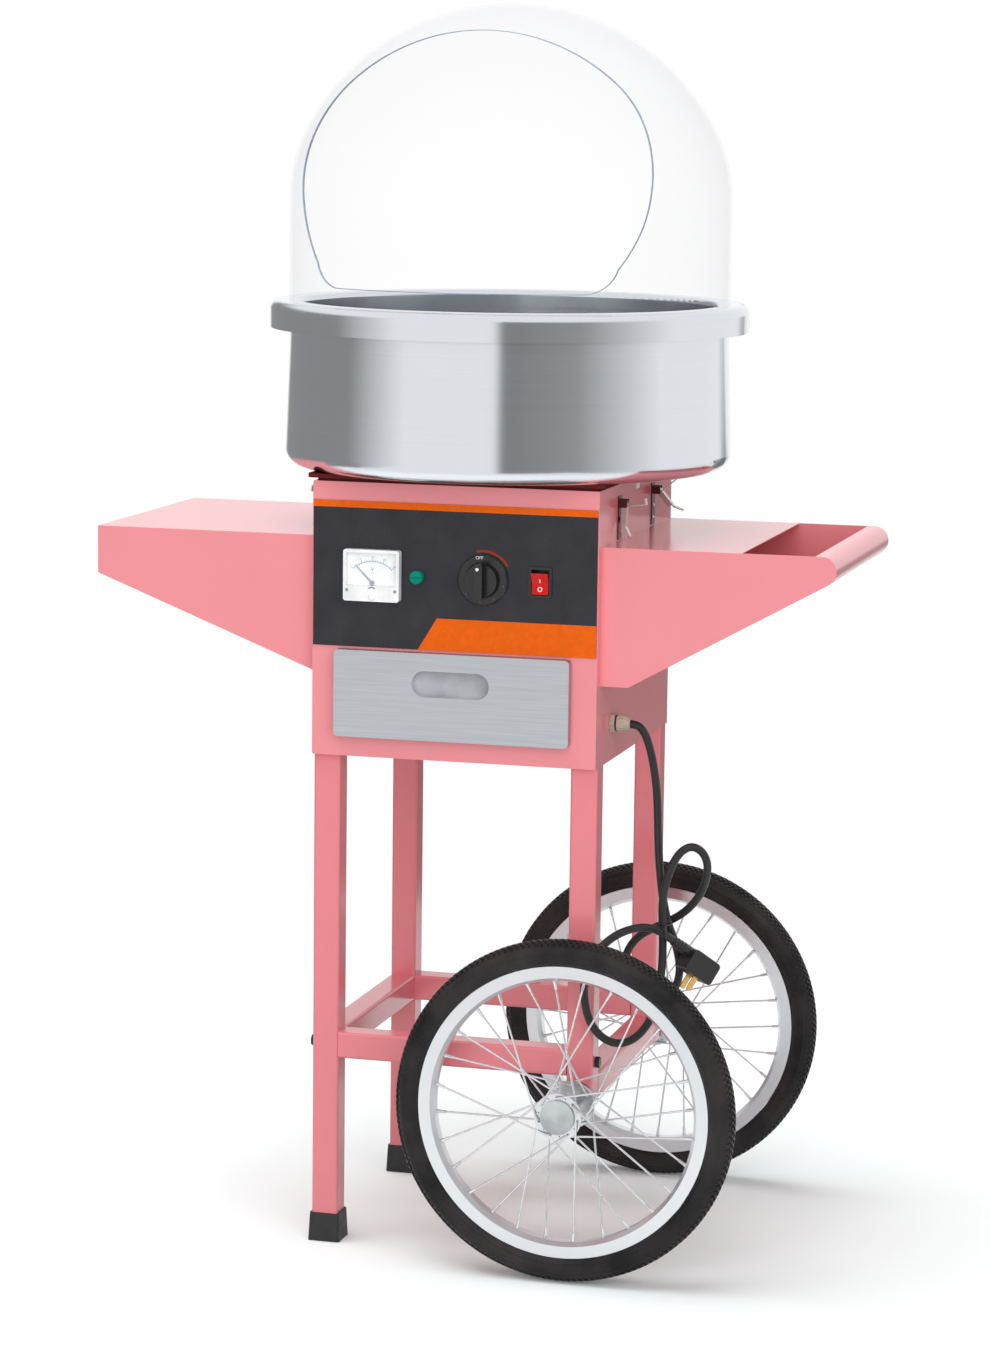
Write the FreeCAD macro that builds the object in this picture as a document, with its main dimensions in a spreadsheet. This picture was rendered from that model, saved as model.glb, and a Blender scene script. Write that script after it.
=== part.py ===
"""Cotton candy cart: spinner and bowl on a sheet-metal case, on a wheeled stand.

Frame: +Z up, +X towards the push handle, -Y is the front with the controls. The origin is on
the floor under the middle of the case. All sizes are millimetres. Every driving size is one
row of SIZES; everything that seats on, fits in or lines up with something else is worked out
from those rows.
"""
import FreeCAD
import Part
import math
import os

import Sketcher
from FreeCAD import Placement, Rotation, Vector

SIZES = (
    # name, number, what it is
    ("clearance", 0.3, "gap that keeps a moving piece off its seat"),
    ("fit_gap", 0.05, "radial gap of a pin or shaft in its bore"),
    ("tube_width", 30, "outside width of the square stand tube"),
    ("tube_wall", 1.5, "wall of the square stand tube"),
    ("tube_corner", 3, "outside corner radius of the stand tube"),
    ("frame_width", 325, "stand across the outside of the legs, left to right"),
    ("frame_depth", 332, "stand across the outside of the legs, front to back"),
    ("case_floor", 560, "height of the underside of the case"),
    ("stretcher_top", 243, "height of the top of the stretchers"),
    ("foot_height", 32, "height of a rubber foot"),
    ("foot_sole", 6, "rubber under the end of the leg"),
    ("foot_wall", 2, "rubber wall at the top of the foot"),
    ("foot_flare", 3.5, "how far the foot spreads at the floor"),
    ("bolt_radius", 4, "frame bolt shank"),
    ("bolt_head", 6.5, "frame bolt head, half its width across corners"),
    ("bolt_head_depth", 5, "frame bolt head height"),
    ("bolt_grip", 8, "how far a frame bolt reaches into the stretcher"),
    ("tyre_radius", 191, "outside radius of the tyre"),
    ("tyre_width", 36, "width of the tyre"),
    ("tread_radius", 12, "rounding of the tyre shoulder"),
    ("rim_radius", 163, "outside radius of the rim"),
    ("rim_depth", 17, "rim height, from its edge to its inner face"),
    ("rim_width", 24, "width of the rim"),
    ("rim_wall", 2, "wall of the rim section"),
    ("wheel_reach", 229.6, "middle of a wheel from the middle of the cart"),
    ("flange_radius", 26.5, "hub flange radius"),
    ("flange_spacing", 57, "distance between the hub flanges"),
    ("flange_wall", 3, "hub flange thickness"),
    ("hub_radius", 13, "hub barrel radius"),
    ("bearing_radius", 11, "outside radius of the hub bearing"),
    ("bearing_width", 7, "width of the hub bearing"),
    ("axle_radius", 5.5, "axle radius"),
    ("boot_radius", 17, "radius of the spacer between leg and hub"),
    ("cap_radius", 19, "radius of the axle cap"),
    ("cap_rise", 9, "how far the axle cap stands out from the hub"),
    ("spoke_count", 28, "spokes in a wheel"),
    ("spoke_radius", 1.1, "spoke radius"),
    ("spoke_circle", 22, "radius of the spoke holes in the hub flange"),
    ("spoke_crossing", 3, "holes that a spoke is turned round the hub"),
    ("elbow_rise", 3, "outer spokes stand this far clear of the hub flange"),
    ("front_wheel_turn", 18, "front wheel, turned about its axle at rest, degrees"),
    ("back_wheel_turn", 0, "back wheel, turned about its axle at rest, degrees"),
    ("case_width", 325, "case, left to right"),
    ("case_depth", 348, "case, front to back"),
    ("case_top", 865, "height of the top of the case"),
    ("sheet", 1.2, "sheet metal of the case and wings"),
    ("panel_drop", 20.5, "upper edge of the control panel below the case top"),
    ("panel_gap", 2.5, "gap between the control panel and the drawer front"),
    ("panel_sheet", 1.2, "thickness of the control panel"),
    ("panel_inset", 1, "panel edge from the side of the case"),
    ("meter_x", -92, "voltmeter, left or right of the middle"),
    ("controls_drop", 0.25, "controls, below the middle of the panel"),
    ("meter_width", 64, "voltmeter bezel width"),
    ("meter_height", 57, "voltmeter bezel height"),
    ("meter_corner", 3, "voltmeter bezel corner radius"),
    ("meter_proud", 10, "voltmeter bezel depth"),
    ("meter_barrel", 25, "radius of the voltmeter behind the panel"),
    ("meter_behind", 32, "depth of the voltmeter behind the panel"),
    ("dial_depth", 6, "depth of the dial below the bezel"),
    ("dial_lip", 3.5, "bezel lip round the dial"),
    ("dial_low", 17, "height of the blank strip under the dial"),
    ("needle_length", 27, "voltmeter needle length"),
    ("needle_hub", 2.5, "needle hub radius"),
    ("needle_rest_angle", 45, "needle at zero, degrees left of upright"),
    ("fuse_x", -41, "fuse cap, left or right of the middle"),
    ("fuse_radius", 7.3, "fuse cap radius"),
    ("fuse_proud", 9, "fuse cap height"),
    ("fuse_barrel", 6, "fuse holder radius behind the panel"),
    ("fuse_behind", 30, "fuse holder depth behind the panel"),
    ("knob_x", 33.3, "knob, left or right of the middle"),
    ("knob_radius", 28.2, "knob skirt radius"),
    ("knob_skirt", 4, "knob skirt thickness"),
    ("knob_waist", 20, "radius of the knob above its skirt"),
    ("knob_height", 22, "knob height"),
    ("knob_bar", 9, "width of the knob grip bar"),
    ("knob_shaft", 3, "radius of the regulator shaft"),
    ("regulator_side", 42, "heat regulator, its square side"),
    ("regulator_depth", 34, "heat regulator depth"),
    ("switch_x", 98, "switch, left or right of the middle"),
    ("switch_width", 26, "switch bezel width"),
    ("switch_height", 34, "switch bezel height"),
    ("switch_lip", 2, "switch bezel thickness"),
    ("switch_frame", 3, "width of the switch bezel round the rocker"),
    ("switch_behind", 26, "switch depth behind the panel"),
    ("rocker_gap", 0.8, "gap at the sides of the rocker"),
    ("rocker_swing", 9, "rocker angle to either side of level"),
    ("rocker_pin", 1.5, "radius of the rocker pivot"),
    ("drawer_width", 268, "drawer front width"),
    ("drawer_rise", 23.5, "lower edge of the drawer front above the case floor"),
    ("drawer_share", 0.318, "height of the drawer front, as a share of the case's height"),
    ("drawer_proud", 12, "drawer front, out from the case"),
    ("drawer_corner", 5, "corner radius of the drawer front"),
    ("drawer_slot_length", 88, "finger slot length"),
    ("drawer_slot_height", 29, "finger slot height"),
    ("drawer_slot_drop", 34, "finger slot below the upper edge of the drawer front"),
    ("drawer_box_width", 244, "drawer box width"),
    ("drawer_box_rise", 6.5, "underside of the drawer box above its front's lower edge"),
    ("drawer_box_drop", 8.5, "rim of the drawer box below its front's upper edge"),
    ("drawer_box_back", 60, "back of the drawer box, behind the middle"),
    ("drawer_hole_gap", 2, "gap round the drawer box in the case front"),
    ("runner_lip", 8, "height of the runner's guide"),
    ("runner_flange", 14, "height of the runner's flange on the case wall"),
    ("runner_shelf", 12, "how far the runner reaches under the drawer box"),
    ("wing_half_depth", 160, "wing, front and back of the middle"),
    ("wing_drop", 62, "top of the wings below the case top"),
    ("wing_root_rise", 90.5, "lower edge of a wing at the case, above the case floor"),
    ("wing_reach", 421, "outer end of a wing from the middle"),
    ("left_tip_height", 53, "height of the left wing's end face"),
    ("right_flat", 31.5, "level part under the right wing at the case"),
    ("grip_start", 317, "edge of the right wing's top at the grip opening"),
    ("grip_radius", 16, "radius of the rolled handle"),
    ("grip_lap", 8, "level lap of the handle roll"),
    ("seam_lip", 9, "how far the left wing's lid folds down"),
    ("axis_x", 12, "spinner axis, right of the middle"),
    ("plate_half_width", 169, "red base plate, half its width"),
    ("plate_half_depth", 178, "red base plate, half its depth"),
    ("packing_inset", 8.5, "packing plate edge inside the base plate edge"),
    ("packing_height", 3.5, "thickness of the packing plate"),
    ("plate_height", 4.5, "thickness of the red base plate"),
    ("plate_corner", 8, "corner radius of the red base plate"),
    ("spindle_hole", 22, "radius of the spindle hole in the base plate"),
    ("bowl_flare", 5, "bowl radius near its base over its radius under the rim"),
    ("bowl_corner", 18, "rounding at the base of the bowl"),
    ("bowl_sheet", 1.2, "bowl metal thickness"),
    ("bowl_hole_radius", 92, "radius of the hole in the bowl"),
    ("bowl_collar", 20, "height of the collar round the hole"),
    ("bowl_height", 184.7, "bowl height to the crown of its rim"),
    ("bowl_rim_radius", 269, "outside radius of the bowl rim"),
    ("bowl_rim_width", 35, "bowl rim, from its outside to its inside"),
    ("bowl_rim_overhang", 23, "bowl rim, out from the wall below it"),
    ("rim_band", 20.4, "height of the straight band of the bowl rim"),
    ("rim_shoulder", 10, "rounding of the outside of the bowl rim"),
    ("rim_roll", 6, "rounding of the inside of the bowl rim"),
    ("rim_drop", 20, "how far the inside of the bowl rim turns down"),
    ("dome_inset", 21, "outside of the dome, in from the outside of the bowl rim"),
    ("dome_side", 112, "height of the dome's upright side"),
    ("dome_height", 329.7, "dome height"),
    ("dome_shoulder", 175, "shoulder radius of the dome"),
    ("dome_sheet", 3, "dome plastic thickness"),
    ("mouth_half_width", 196, "half the width of the dome's opening"),
    ("mouth_middle", 137, "height of the widest part of the opening"),
    ("mouth_rise", 161, "opening above its widest part"),
    ("mouth_shoulder", 140, "shoulder radius of the opening"),
    ("mouth_sill", 20, "height of the sill under the opening"),
    ("mouth_corner_x", 140, "end of the straight sill from the middle"),
    ("mouth_corner_rise", 26, "height of the opening's lower corner"),
    ("mouth_jaw_x", 168, "half the opening's width above its corner"),
    ("mouth_corner", 34, "lower corner radius of the opening"),
    ("mouth_jaw", 162, "radius of the opening's side below its middle"),
    ("motor_radius", 48, "motor can radius"),
    ("motor_share", 0.393, "height of the motor, as a share of the case's height"),
    ("motor_drop_share", 0.18, "motor below the case top, as a share of the case's height"),
    ("motor_post_spread", 28, "motor posts from the motor's middle, each way"),
    ("post_radius", 5, "motor post radius"),
    ("shaft_radius", 6, "spinner shaft radius"),
    ("shaft_seat_share", 0.5, "how deep the shaft sits, as a share of the motor's height"),
    ("shaft_hole", 16, "shaft hole in the case top"),
    ("slip_ring_radius", 12, "slip ring radius"),
    ("slip_ring_width", 7, "slip ring width"),
    ("slip_ring_share", 0.1475, "slip rings below the case top, as a share of its height"),
    ("slip_ring_pitch", 14, "distance between the slip rings"),
    ("brush_width", 20, "brush holder width"),
    ("brush_depth", 26, "brush holder depth"),
    ("head_rise", 61.7, "underside of the spinner head above the base of the bowl"),
    ("head_radius", 85, "spinner head radius"),
    ("head_wall", 2, "spinner head metal"),
    ("pan_height", 14, "height of the spinner pan's edge"),
    ("head_hub", 14, "radius of the spinner head's hub"),
    ("heater_outer", 80, "outside radius of the heater ring"),
    ("heater_inner", 74, "inside radius of the heater ring"),
    ("heater_height", 32, "heater ring height"),
    ("heater_slots", 24, "slots in the heater ring"),
    ("heater_slot_width", 3, "width of a heater ring slot"),
    ("lid_rise", 12, "rise of the spinner head's lid"),
    ("feed_radius", 28, "radius of the sugar opening"),
    ("latch_front_y", -84, "front latches, from the middle"),
    ("latch_back_y", 76, "back latches, from the middle"),
    ("latch_width", 14, "latch bracket width"),
    ("latch_height", 48, "height of a latch bracket"),
    ("latch_drop", 13, "upper end of a latch bracket below the case top"),
    ("latch_pivot_drop", 21, "latch pivot below the case top"),
    ("latch_pivot_reach", 7, "latch pivot out from the case"),
    ("latch_pin", 1.5, "latch pivot pin radius"),
    ("lever_length", 38, "latch lever length"),
    ("lever_width", 9, "latch lever width"),
    ("lever_metal", 1.2, "latch lever metal"),
    ("claw_length", 24, "latch claw length"),
    ("tab_length", 12, "thumb tab at the end of a lever"),
    ("tab_flare", 30, "thumb tab out from the lever, degrees"),
    ("front_claw_angle", 12, "front claws, up from square to their levers, degrees"),
    ("back_claw_angle", 0, "back claws, up from square to their levers, degrees"),
    ("front_lever_angle", -4, "front levers out from the case, degrees"),
    ("back_lever_angle", 40, "back levers out from the case, degrees"),
    ("catch_width", 12, "width of a catch under the bowl"),
    ("catch_out", 20, "catches, out from the side of the case"),
    ("catch_drop", 12, "how far a catch hangs below the bowl"),
    ("gland_y", -105, "cable gland, in front of the middle"),
    ("gland_rise", 42, "cable gland above the case floor"),
    ("gland_thread", 8, "cable gland thread radius"),
    ("gland_hex", 11.5, "half the cable gland's width across corners"),
    ("gland_length", 22.5, "cable gland, out from the case"),
    ("cord_radius", 4.5, "mains lead radius"),
    ("plug_neck", 25, "length of the plug's neck, from the lead to the block"),
    ("plug_neck_end", 5.3, "radius of the neck where the lead enters"),
    ("plug_neck_radius", 6.5, "radius of the neck at the block"),
    ("plug_block", 40, "length of the plug's block"),
    ("plug_face", 20, "face of the plug below the lead's axis"),
    ("plug_width", 24, "width of the plug's block"),
    ("plug_corner", 5, "corner radius of the plug's block"),
    ("blade_place", 46, "blades from the end of the neck"),
    ("blade_length", 17, "plug blade length"),
    ("blade_width", 7, "plug blade width"),
    ("blade_thickness", 2, "plug blade thickness"),
    ("blade_spacing", 12.7, "distance between the plug blades"),
)


class Size:
    """A length that knows its number and the spreadsheet formula that gives it."""

    def __init__(self, number, formula=None):
        self.number = float(number)
        self.formula = formula if formula is not None else repr(float(number))
        self.bound = formula is not None

    def _join(self, other, sign, number):
        other = size(other)
        joined = Size(number, f"({self.formula} {sign} {other.formula})")
        joined.bound = self.bound or other.bound
        return joined

    def __add__(self, other):
        return self._join(other, "+", self.number + size(other).number)

    def __sub__(self, other):
        return self._join(other, "-", self.number - size(other).number)

    def __mul__(self, other):
        return self._join(other, "*", self.number * size(other).number)

    def __truediv__(self, other):
        return self._join(other, "/", self.number / size(other).number)

    def __radd__(self, other):
        return size(other) + self

    def __rsub__(self, other):
        return size(other) - self

    def __rmul__(self, other):
        return size(other) * self

    def __neg__(self):
        return size(0) - self


def size(value):
    return value if isinstance(value, Size) else Size(value)


def root(value):
    return Size(math.sqrt(value.number), f"sqrt({value.formula})")


class Sheet:
    """The driving sizes by name, each tied to its spreadsheet cell."""

    def __init__(self, rows):
        for name, number, _ in rows:
            setattr(self, name, Size(number, f"Sizes.{name}"))


doc = FreeCAD.newDocument("cotton_candy_cart")
table = doc.addObject("Spreadsheet::Sheet", "Sizes")
for row, (alias, number, meaning) in enumerate(SIZES, start=1):
    table.set(f"A{row}", meaning)
    table.set(f"B{row}", str(number))
    table.setAlias(f"B{row}", alias)
doc.recompute()
S = Sheet(SIZES)
nodes = {}


# ---- ways of making a piece ---------------------------------------------------------------

def bind(thing, prop, value):
    """Sets a property to a size and ties it to the spreadsheet."""
    value = size(value)
    if "." not in prop:
        setattr(thing, prop, value.number)
    if value.bound:
        thing.setExpression(prop, value.formula)


def place(thing, at, turn=None):
    """Puts a piece at a point, turned about it, with the point tied to the spreadsheet."""
    at = [size(value) for value in at]
    thing.Placement = Placement(Vector(*[value.number for value in at]), turn or Rotation())
    for axis, value in zip("xyz", at):
        if value.bound:
            thing.setExpression(f"Placement.Base.{axis}", value.formula)
    return thing


TOWARDS = {
    "+X": Rotation(Vector(0, 1, 0), 90), "-X": Rotation(Vector(0, 1, 0), -90),
    "+Y": Rotation(Vector(1, 0, 0), -90), "-Y": Rotation(Vector(1, 0, 0), 90),
    "+Z": Rotation(), "-Z": Rotation(Vector(1, 0, 0), 180),
}


def block(name, low, high):
    """A box between two corners."""
    thing = doc.addObject("Part::Box", name)
    for prop, start, end in zip(("Length", "Width", "Height"), low, high):
        bind(thing, prop, size(end) - start)
    return place(thing, low)


def rod(name, radius, start, length, towards="+Z"):
    """A round bar from a point, along one of the axes."""
    thing = doc.addObject("Part::Cylinder", name)
    bind(thing, "Radius", radius)
    bind(thing, "Height", length)
    return place(thing, start, TOWARDS[towards])


def hexagon(name, radius, start, length, towards="+Z"):
    thing = doc.addObject("Part::Prism", name)
    thing.Polygon = 6
    bind(thing, "Circumradius", radius)
    bind(thing, "Height", length)
    return place(thing, start, TOWARDS[towards])


def fuse(name, *pieces):
    thing = doc.addObject("Part::MultiFuse", name)
    thing.Shapes = list(pieces)
    thing.Refine = True
    return thing


def cut(name, base, *tools):
    thing = doc.addObject("Part::Cut", name)
    thing.Base = base
    thing.Tool = tools[0] if len(tools) == 1 else fuse(name + "_tools", *tools)
    return thing


def group(name, *pieces):
    """Like pieces that lie apart and share one node."""
    thing = doc.addObject("Part::Compound", name)
    thing.Links = list(pieces)
    return thing


def new_body(name):
    return doc.addObject("PartDesign::Body", name)


def sketch_on(body, role, offset=0):
    """A sketch on one of the body's own origin planes, moved along the plane's normal."""
    plane = next(item for item in body.Origin.OriginFeatures if item.Role == role)
    sketch = body.newObject("Sketcher::SketchObject", body.Name + "_outline")
    sketch.AttachmentSupport = [(plane, "")]
    sketch.MapMode = "FlatFace"
    offset = size(offset)
    sketch.AttachmentOffset = Placement(Vector(0, 0, offset.number), Rotation())
    if offset.bound:
        sketch.setExpression("AttachmentOffset.Base.z", offset.formula)
    return sketch


def fix_point(sketch, element, end, u, v):
    """Ties one end of a sketch element to a distance from each sketch axis."""
    for value, kind, axis in ((u, "DistanceX", -2), (v, "DistanceY", -1)):
        if abs(value.number) < 1e-9 and not value.bound:
            sketch.addConstraint(Sketcher.Constraint("PointOnObject", element, end, axis))
            continue
        made = sketch.addConstraint(Sketcher.Constraint(kind, -1, 1, element, end, value.number))
        if value.bound:
            sketch.setExpression(f"Constraints[{made}]", value.formula)


def arc_between(start, end, radius, left):
    """The shorter arc from start to end, curving to the left or right of the way."""
    way = end - start
    half = way.Length / 2
    side = Vector(-way.y, way.x, 0).normalize() * (1 if left else -1)
    centre = (start + end) * 0.5 + side * math.sqrt(max(radius * radius - half * half, 0))
    first, last = (start, end) if left else (end, start)
    angles = [math.atan2(point.y - centre.y, point.x - centre.x) for point in (first, last)]
    return Part.ArcOfCircle(Part.Circle(centre, Vector(0, 0, 1), radius), *angles)


def outline(sketch, corners):
    """A closed outline. A corner (u, v, r) sends an arc of radius r to the next corner,
    to the left of the way, or to the right when r stands with the word "right"."""
    corners = [tuple(corner) + (None,) * (4 - len(corner)) for corner in corners]
    points = [(size(u), size(v)) for u, v, _, _ in corners]
    first = sketch.GeometryCount
    ends = []
    for index, (_, _, radius, side) in enumerate(corners):
        here, there = points[index], points[(index + 1) % len(points)]
        start = Vector(here[0].number, here[1].number, 0)
        end = Vector(there[0].number, there[1].number, 0)
        if radius is None:
            sketch.addGeometry(Part.LineSegment(start, end))
            ends.append((1, 2))
        else:
            left = side != "right"
            sketch.addGeometry(arc_between(start, end, size(radius).number, left))
            ends.append((1, 2) if left else (2, 1))
    for index, (u, v) in enumerate(points):
        element = first + index
        following = first + (index + 1) % len(points)
        sketch.addConstraint(Sketcher.Constraint("Coincident", element, ends[index][1],
                                                 following, ends[(index + 1) % len(points)][0]))
        fix_point(sketch, element, ends[index][0], u, v)
    for index, (_, _, radius, _) in enumerate(corners):
        if radius is not None:
            radius = size(radius)
            made = sketch.addConstraint(
                Sketcher.Constraint("Radius", first + index, radius.number))
            if radius.bound:
                sketch.setExpression(f"Constraints[{made}]", radius.formula)


def ring(sketch, radius, u=0, v=0):
    """A full circle in a sketch."""
    radius, u, v = size(radius), size(u), size(v)
    centre = Vector(u.number, v.number, 0)
    made = sketch.addGeometry(Part.Circle(centre, Vector(0, 0, 1), radius.number))
    fix_point(sketch, made, 3, u, v)
    limit = sketch.addConstraint(Sketcher.Constraint("Radius", made, radius.number))
    if radius.bound:
        sketch.setExpression(f"Constraints[{limit}]", radius.formula)


def rectangle(low_u, low_v, high_u, high_v):
    return ((low_u, low_v), (high_u, low_v), (high_u, high_v), (low_u, high_v))


def rounded_rectangle(low_u, low_v, high_u, high_v, radius):
    return (
        (low_u + radius, low_v), (high_u - radius, low_v, radius),
        (high_u, low_v + radius), (high_u, high_v - radius, radius),
        (high_u - radius, high_v), (low_u + radius, high_v, radius),
        (low_u, high_v - radius), (low_u, low_v + radius, radius),
    )


def pad(body, sketch, length, middle=False):
    feature = body.newObject("PartDesign::Pad", body.Name + "_pad")
    feature.Profile = sketch
    bind(feature, "Length", length)
    feature.Midplane = middle
    return feature


def prism(name, role, start, length, *loops):
    """Outlines padded from a plane of the body that stands start along its normal."""
    body = new_body(name)
    sketch = sketch_on(body, role, start)
    for loop in loops:
        outline(sketch, loop)
    pad(body, sketch, length)
    return body


def turned(name, *loops):
    """Outlines of (radius, height) turned about the body's own Z axis."""
    body = new_body(name)
    sketch = sketch_on(body, "XZ_Plane")
    for loop in loops:
        outline(sketch, loop)
    feature = body.newObject("PartDesign::Revolution", name + "_turn")
    feature.Profile = sketch
    feature.ReferenceAxis = (sketch, ["V_Axis"])
    feature.Angle = 360
    return body


def node(label, thing):
    """Files a finished piece under its own name."""
    thing.Label = label
    nodes[label] = thing
    return thing


# ---- stand --------------------------------------------------------------------------------

leg_x = (S.frame_width - S.tube_width) / 2
leg_y = (S.frame_depth - S.tube_width) / 2
half_tube = S.tube_width / 2
stretcher_z = S.stretcher_top - half_tube
beam_z = stretcher_z - S.tube_width
axle_z = S.tyre_radius


def square_tube(name, length):
    """Square tube standing on the XY plane, about the Z axis."""
    bore = half_tube - S.tube_wall
    bore_corner = S.tube_corner - S.tube_wall
    return prism(name, "XY_Plane", 0, length,
                 rounded_rectangle(-half_tube, -half_tube, half_tube, half_tube, S.tube_corner),
                 rounded_rectangle(-bore, -bore, bore, bore, bore_corner))


def make_legs():
    for side, x in (("left", -leg_x), ("right", leg_x)):
        foot = S.foot_sole if side == "left" else beam_z - half_tube
        for end, y in (("front", -leg_y), ("back", leg_y)):
            name = f"leg_{end}_{side}"
            tube = place(square_tube(name + "_tube", S.case_floor - foot), (x, y, foot))
            holes = [rod(name + "_bolt_hole", S.bolt_radius + S.fit_gap,
                         (x - S.tube_width, y, stretcher_z), S.tube_width * 2, "+X")]
            if side == "right":
                holes.append(rod(name + "_axle_hole", S.axle_radius + S.fit_gap,
                                 (x, y - S.tube_width, axle_z), S.tube_width * 2, "+Y"))
            node(name, cut(name, tube, *holes))


def make_stretchers():
    across = leg_x * 2 - S.tube_width
    along = leg_y * 2 - S.tube_width
    for end, y in (("front", -leg_y), ("back", leg_y)):
        name = f"stretcher_{end}"
        node(name, place(square_tube(name, across), (-across / 2, y, stretcher_z), TOWARDS["+X"]))
    node("stretcher_left", place(square_tube("stretcher_left", along),
                                 (-leg_x, -along / 2, stretcher_z), TOWARDS["+Y"]))
    node("axle_beam", place(square_tube("axle_beam", along),
                            (leg_x, -along / 2, beam_z), TOWARDS["+Y"]))


def rubber_foot(name, y):
    """A flared sleeve with a closed sole."""
    top_half = half_tube + S.foot_wall
    base_half = half_tube + S.foot_flare
    seat_half = half_tube + S.fit_gap
    body = new_body(name)
    sketches = []
    for half, height in ((base_half, size(0)), (top_half, S.foot_height)):
        sketch = sketch_on(body, "XY_Plane", height)
        outline(sketch, rounded_rectangle(-half, -half, half, half, S.tube_corner))
        sketches.append(sketch)
    loft = body.newObject("PartDesign::AdditiveLoft", name + "_loft")
    loft.Profile = sketches[0]
    loft.Sections = [sketches[1]]
    seat = block(name + "_seat", (-seat_half, -seat_half, S.foot_sole),
                 (seat_half, seat_half, S.foot_height + S.foot_sole))
    return place(cut(name, body, seat), (-leg_x, y, 0))


def frame_bolt(name, side, y):
    """Hexagon-headed bolt through a leg into the end of a stretcher."""
    outward, inward = ("+X", "-X") if side > 0 else ("-X", "+X")
    face = side * S.frame_width / 2
    head = hexagon(name + "_head", S.bolt_head, (face, y, stretcher_z), S.bolt_head_depth,
                   outward)
    shank = rod(name + "_shank", S.bolt_radius, (face, y, stretcher_z),
                S.tube_width + S.bolt_grip, inward)
    return fuse(name, head, shank)


def make_stand():
    make_legs()
    make_stretchers()
    node("rubber_feet", group("rubber_feet", rubber_foot("foot_front", -leg_y),
                              rubber_foot("foot_back", leg_y)))
    bolts = [frame_bolt(f"bolt_{index}", side, y)
             for index, (side, y) in enumerate(((-1, -leg_y), (-1, leg_y), (1, -leg_y), (1, leg_y)))]
    node("frame_bolts", group("frame_bolts", *bolts))


# ---- wheels -------------------------------------------------------------------------------

rim_inner_radius = S.rim_radius - S.rim_depth
rim_half = S.rim_width / 2
flange_face = S.flange_spacing / 2 + S.flange_wall / 2
hub_end = flange_face
cap_start = S.wheel_reach + hub_end


def tyre_profile():
    half = S.tyre_width / 2
    bead = rim_half - S.rim_wall - S.clearance
    seat = S.rim_radius - S.rim_depth + S.rim_wall * 3
    lip = S.rim_radius + S.clearance
    shoulder = S.tyre_radius - S.tread_radius
    crown = half - S.tread_radius
    wall = (lip + shoulder) / 2
    return ((seat, -bead), (lip, -bead), (lip, -rim_half), (wall, -half), (shoulder, -half,
            S.tread_radius), (S.tyre_radius, -crown), (S.tyre_radius, crown, S.tread_radius),
            (shoulder, half), (wall, half), (lip, rim_half), (lip, bead), (seat, bead))


def rim_profile():
    """A drop-centre section, open outwards for the tyre."""
    inner = rim_inner_radius
    floor = inner + S.rim_wall
    well = rim_half / 2
    heel = floor + S.rim_wall
    lip = rim_half - S.rim_wall
    return ((inner, -well), (inner, well), (heel, rim_half), (S.rim_radius, rim_half),
            (S.rim_radius, lip), (heel + S.rim_wall, lip), (floor, well - S.rim_wall),
            (floor, -well + S.rim_wall), (heel + S.rim_wall, -lip), (S.rim_radius, -lip),
            (S.rim_radius, -rim_half), (heel, -rim_half))


def hub_profile():
    """Barrel with two flanges, bored for the axle and for a bearing at each end."""
    inner = S.flange_spacing / 2 - S.flange_wall / 2
    step = flange_face - S.bearing_width
    bore = S.axle_radius + S.clearance * 4
    seat = S.bearing_radius + S.fit_gap
    return ((bore, -step), (seat, -step), (seat, -flange_face), (S.flange_radius, -flange_face),
            (S.flange_radius, -inner), (S.hub_radius, -inner), (S.hub_radius, inner),
            (S.flange_radius, inner), (S.flange_radius, flange_face), (seat, flange_face),
            (seat, step), (bore, step))


def flange_holes(name, turn):
    """The ring of spoke holes through one flange."""
    holes = new_body(name)
    sketch = sketch_on(holes, "XY_Plane")
    ring(sketch, S.spoke_radius + S.clearance, S.spoke_circle)
    hole = pad(holes, sketch, S.flange_spacing)
    pattern = holes.newObject("PartDesign::PolarPattern", name + "_ring")
    pattern.Originals = [hole]
    pattern.Axis = (sketch, ["N_Axis"])
    pattern.Angle = 360
    pattern.Occurrences = int(S.spoke_count.number) // 2
    holes.AllowCompound = True
    holes.Tip = pattern
    return place(holes, (0, 0, 0), turn)


def drilled_hub(name):
    """The hub with its spoke holes, the far flange's half a hole round from the near one's."""
    body = turned(name + "_turned", hub_profile())
    stagger = Rotation(Vector(0, 0, 1), 360.0 / S.spoke_count.number)
    return cut(name, body, flange_holes(name + "_near", Rotation()),
               flange_holes(name + "_far", stagger.multiply(TOWARDS["-Z"])))


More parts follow.
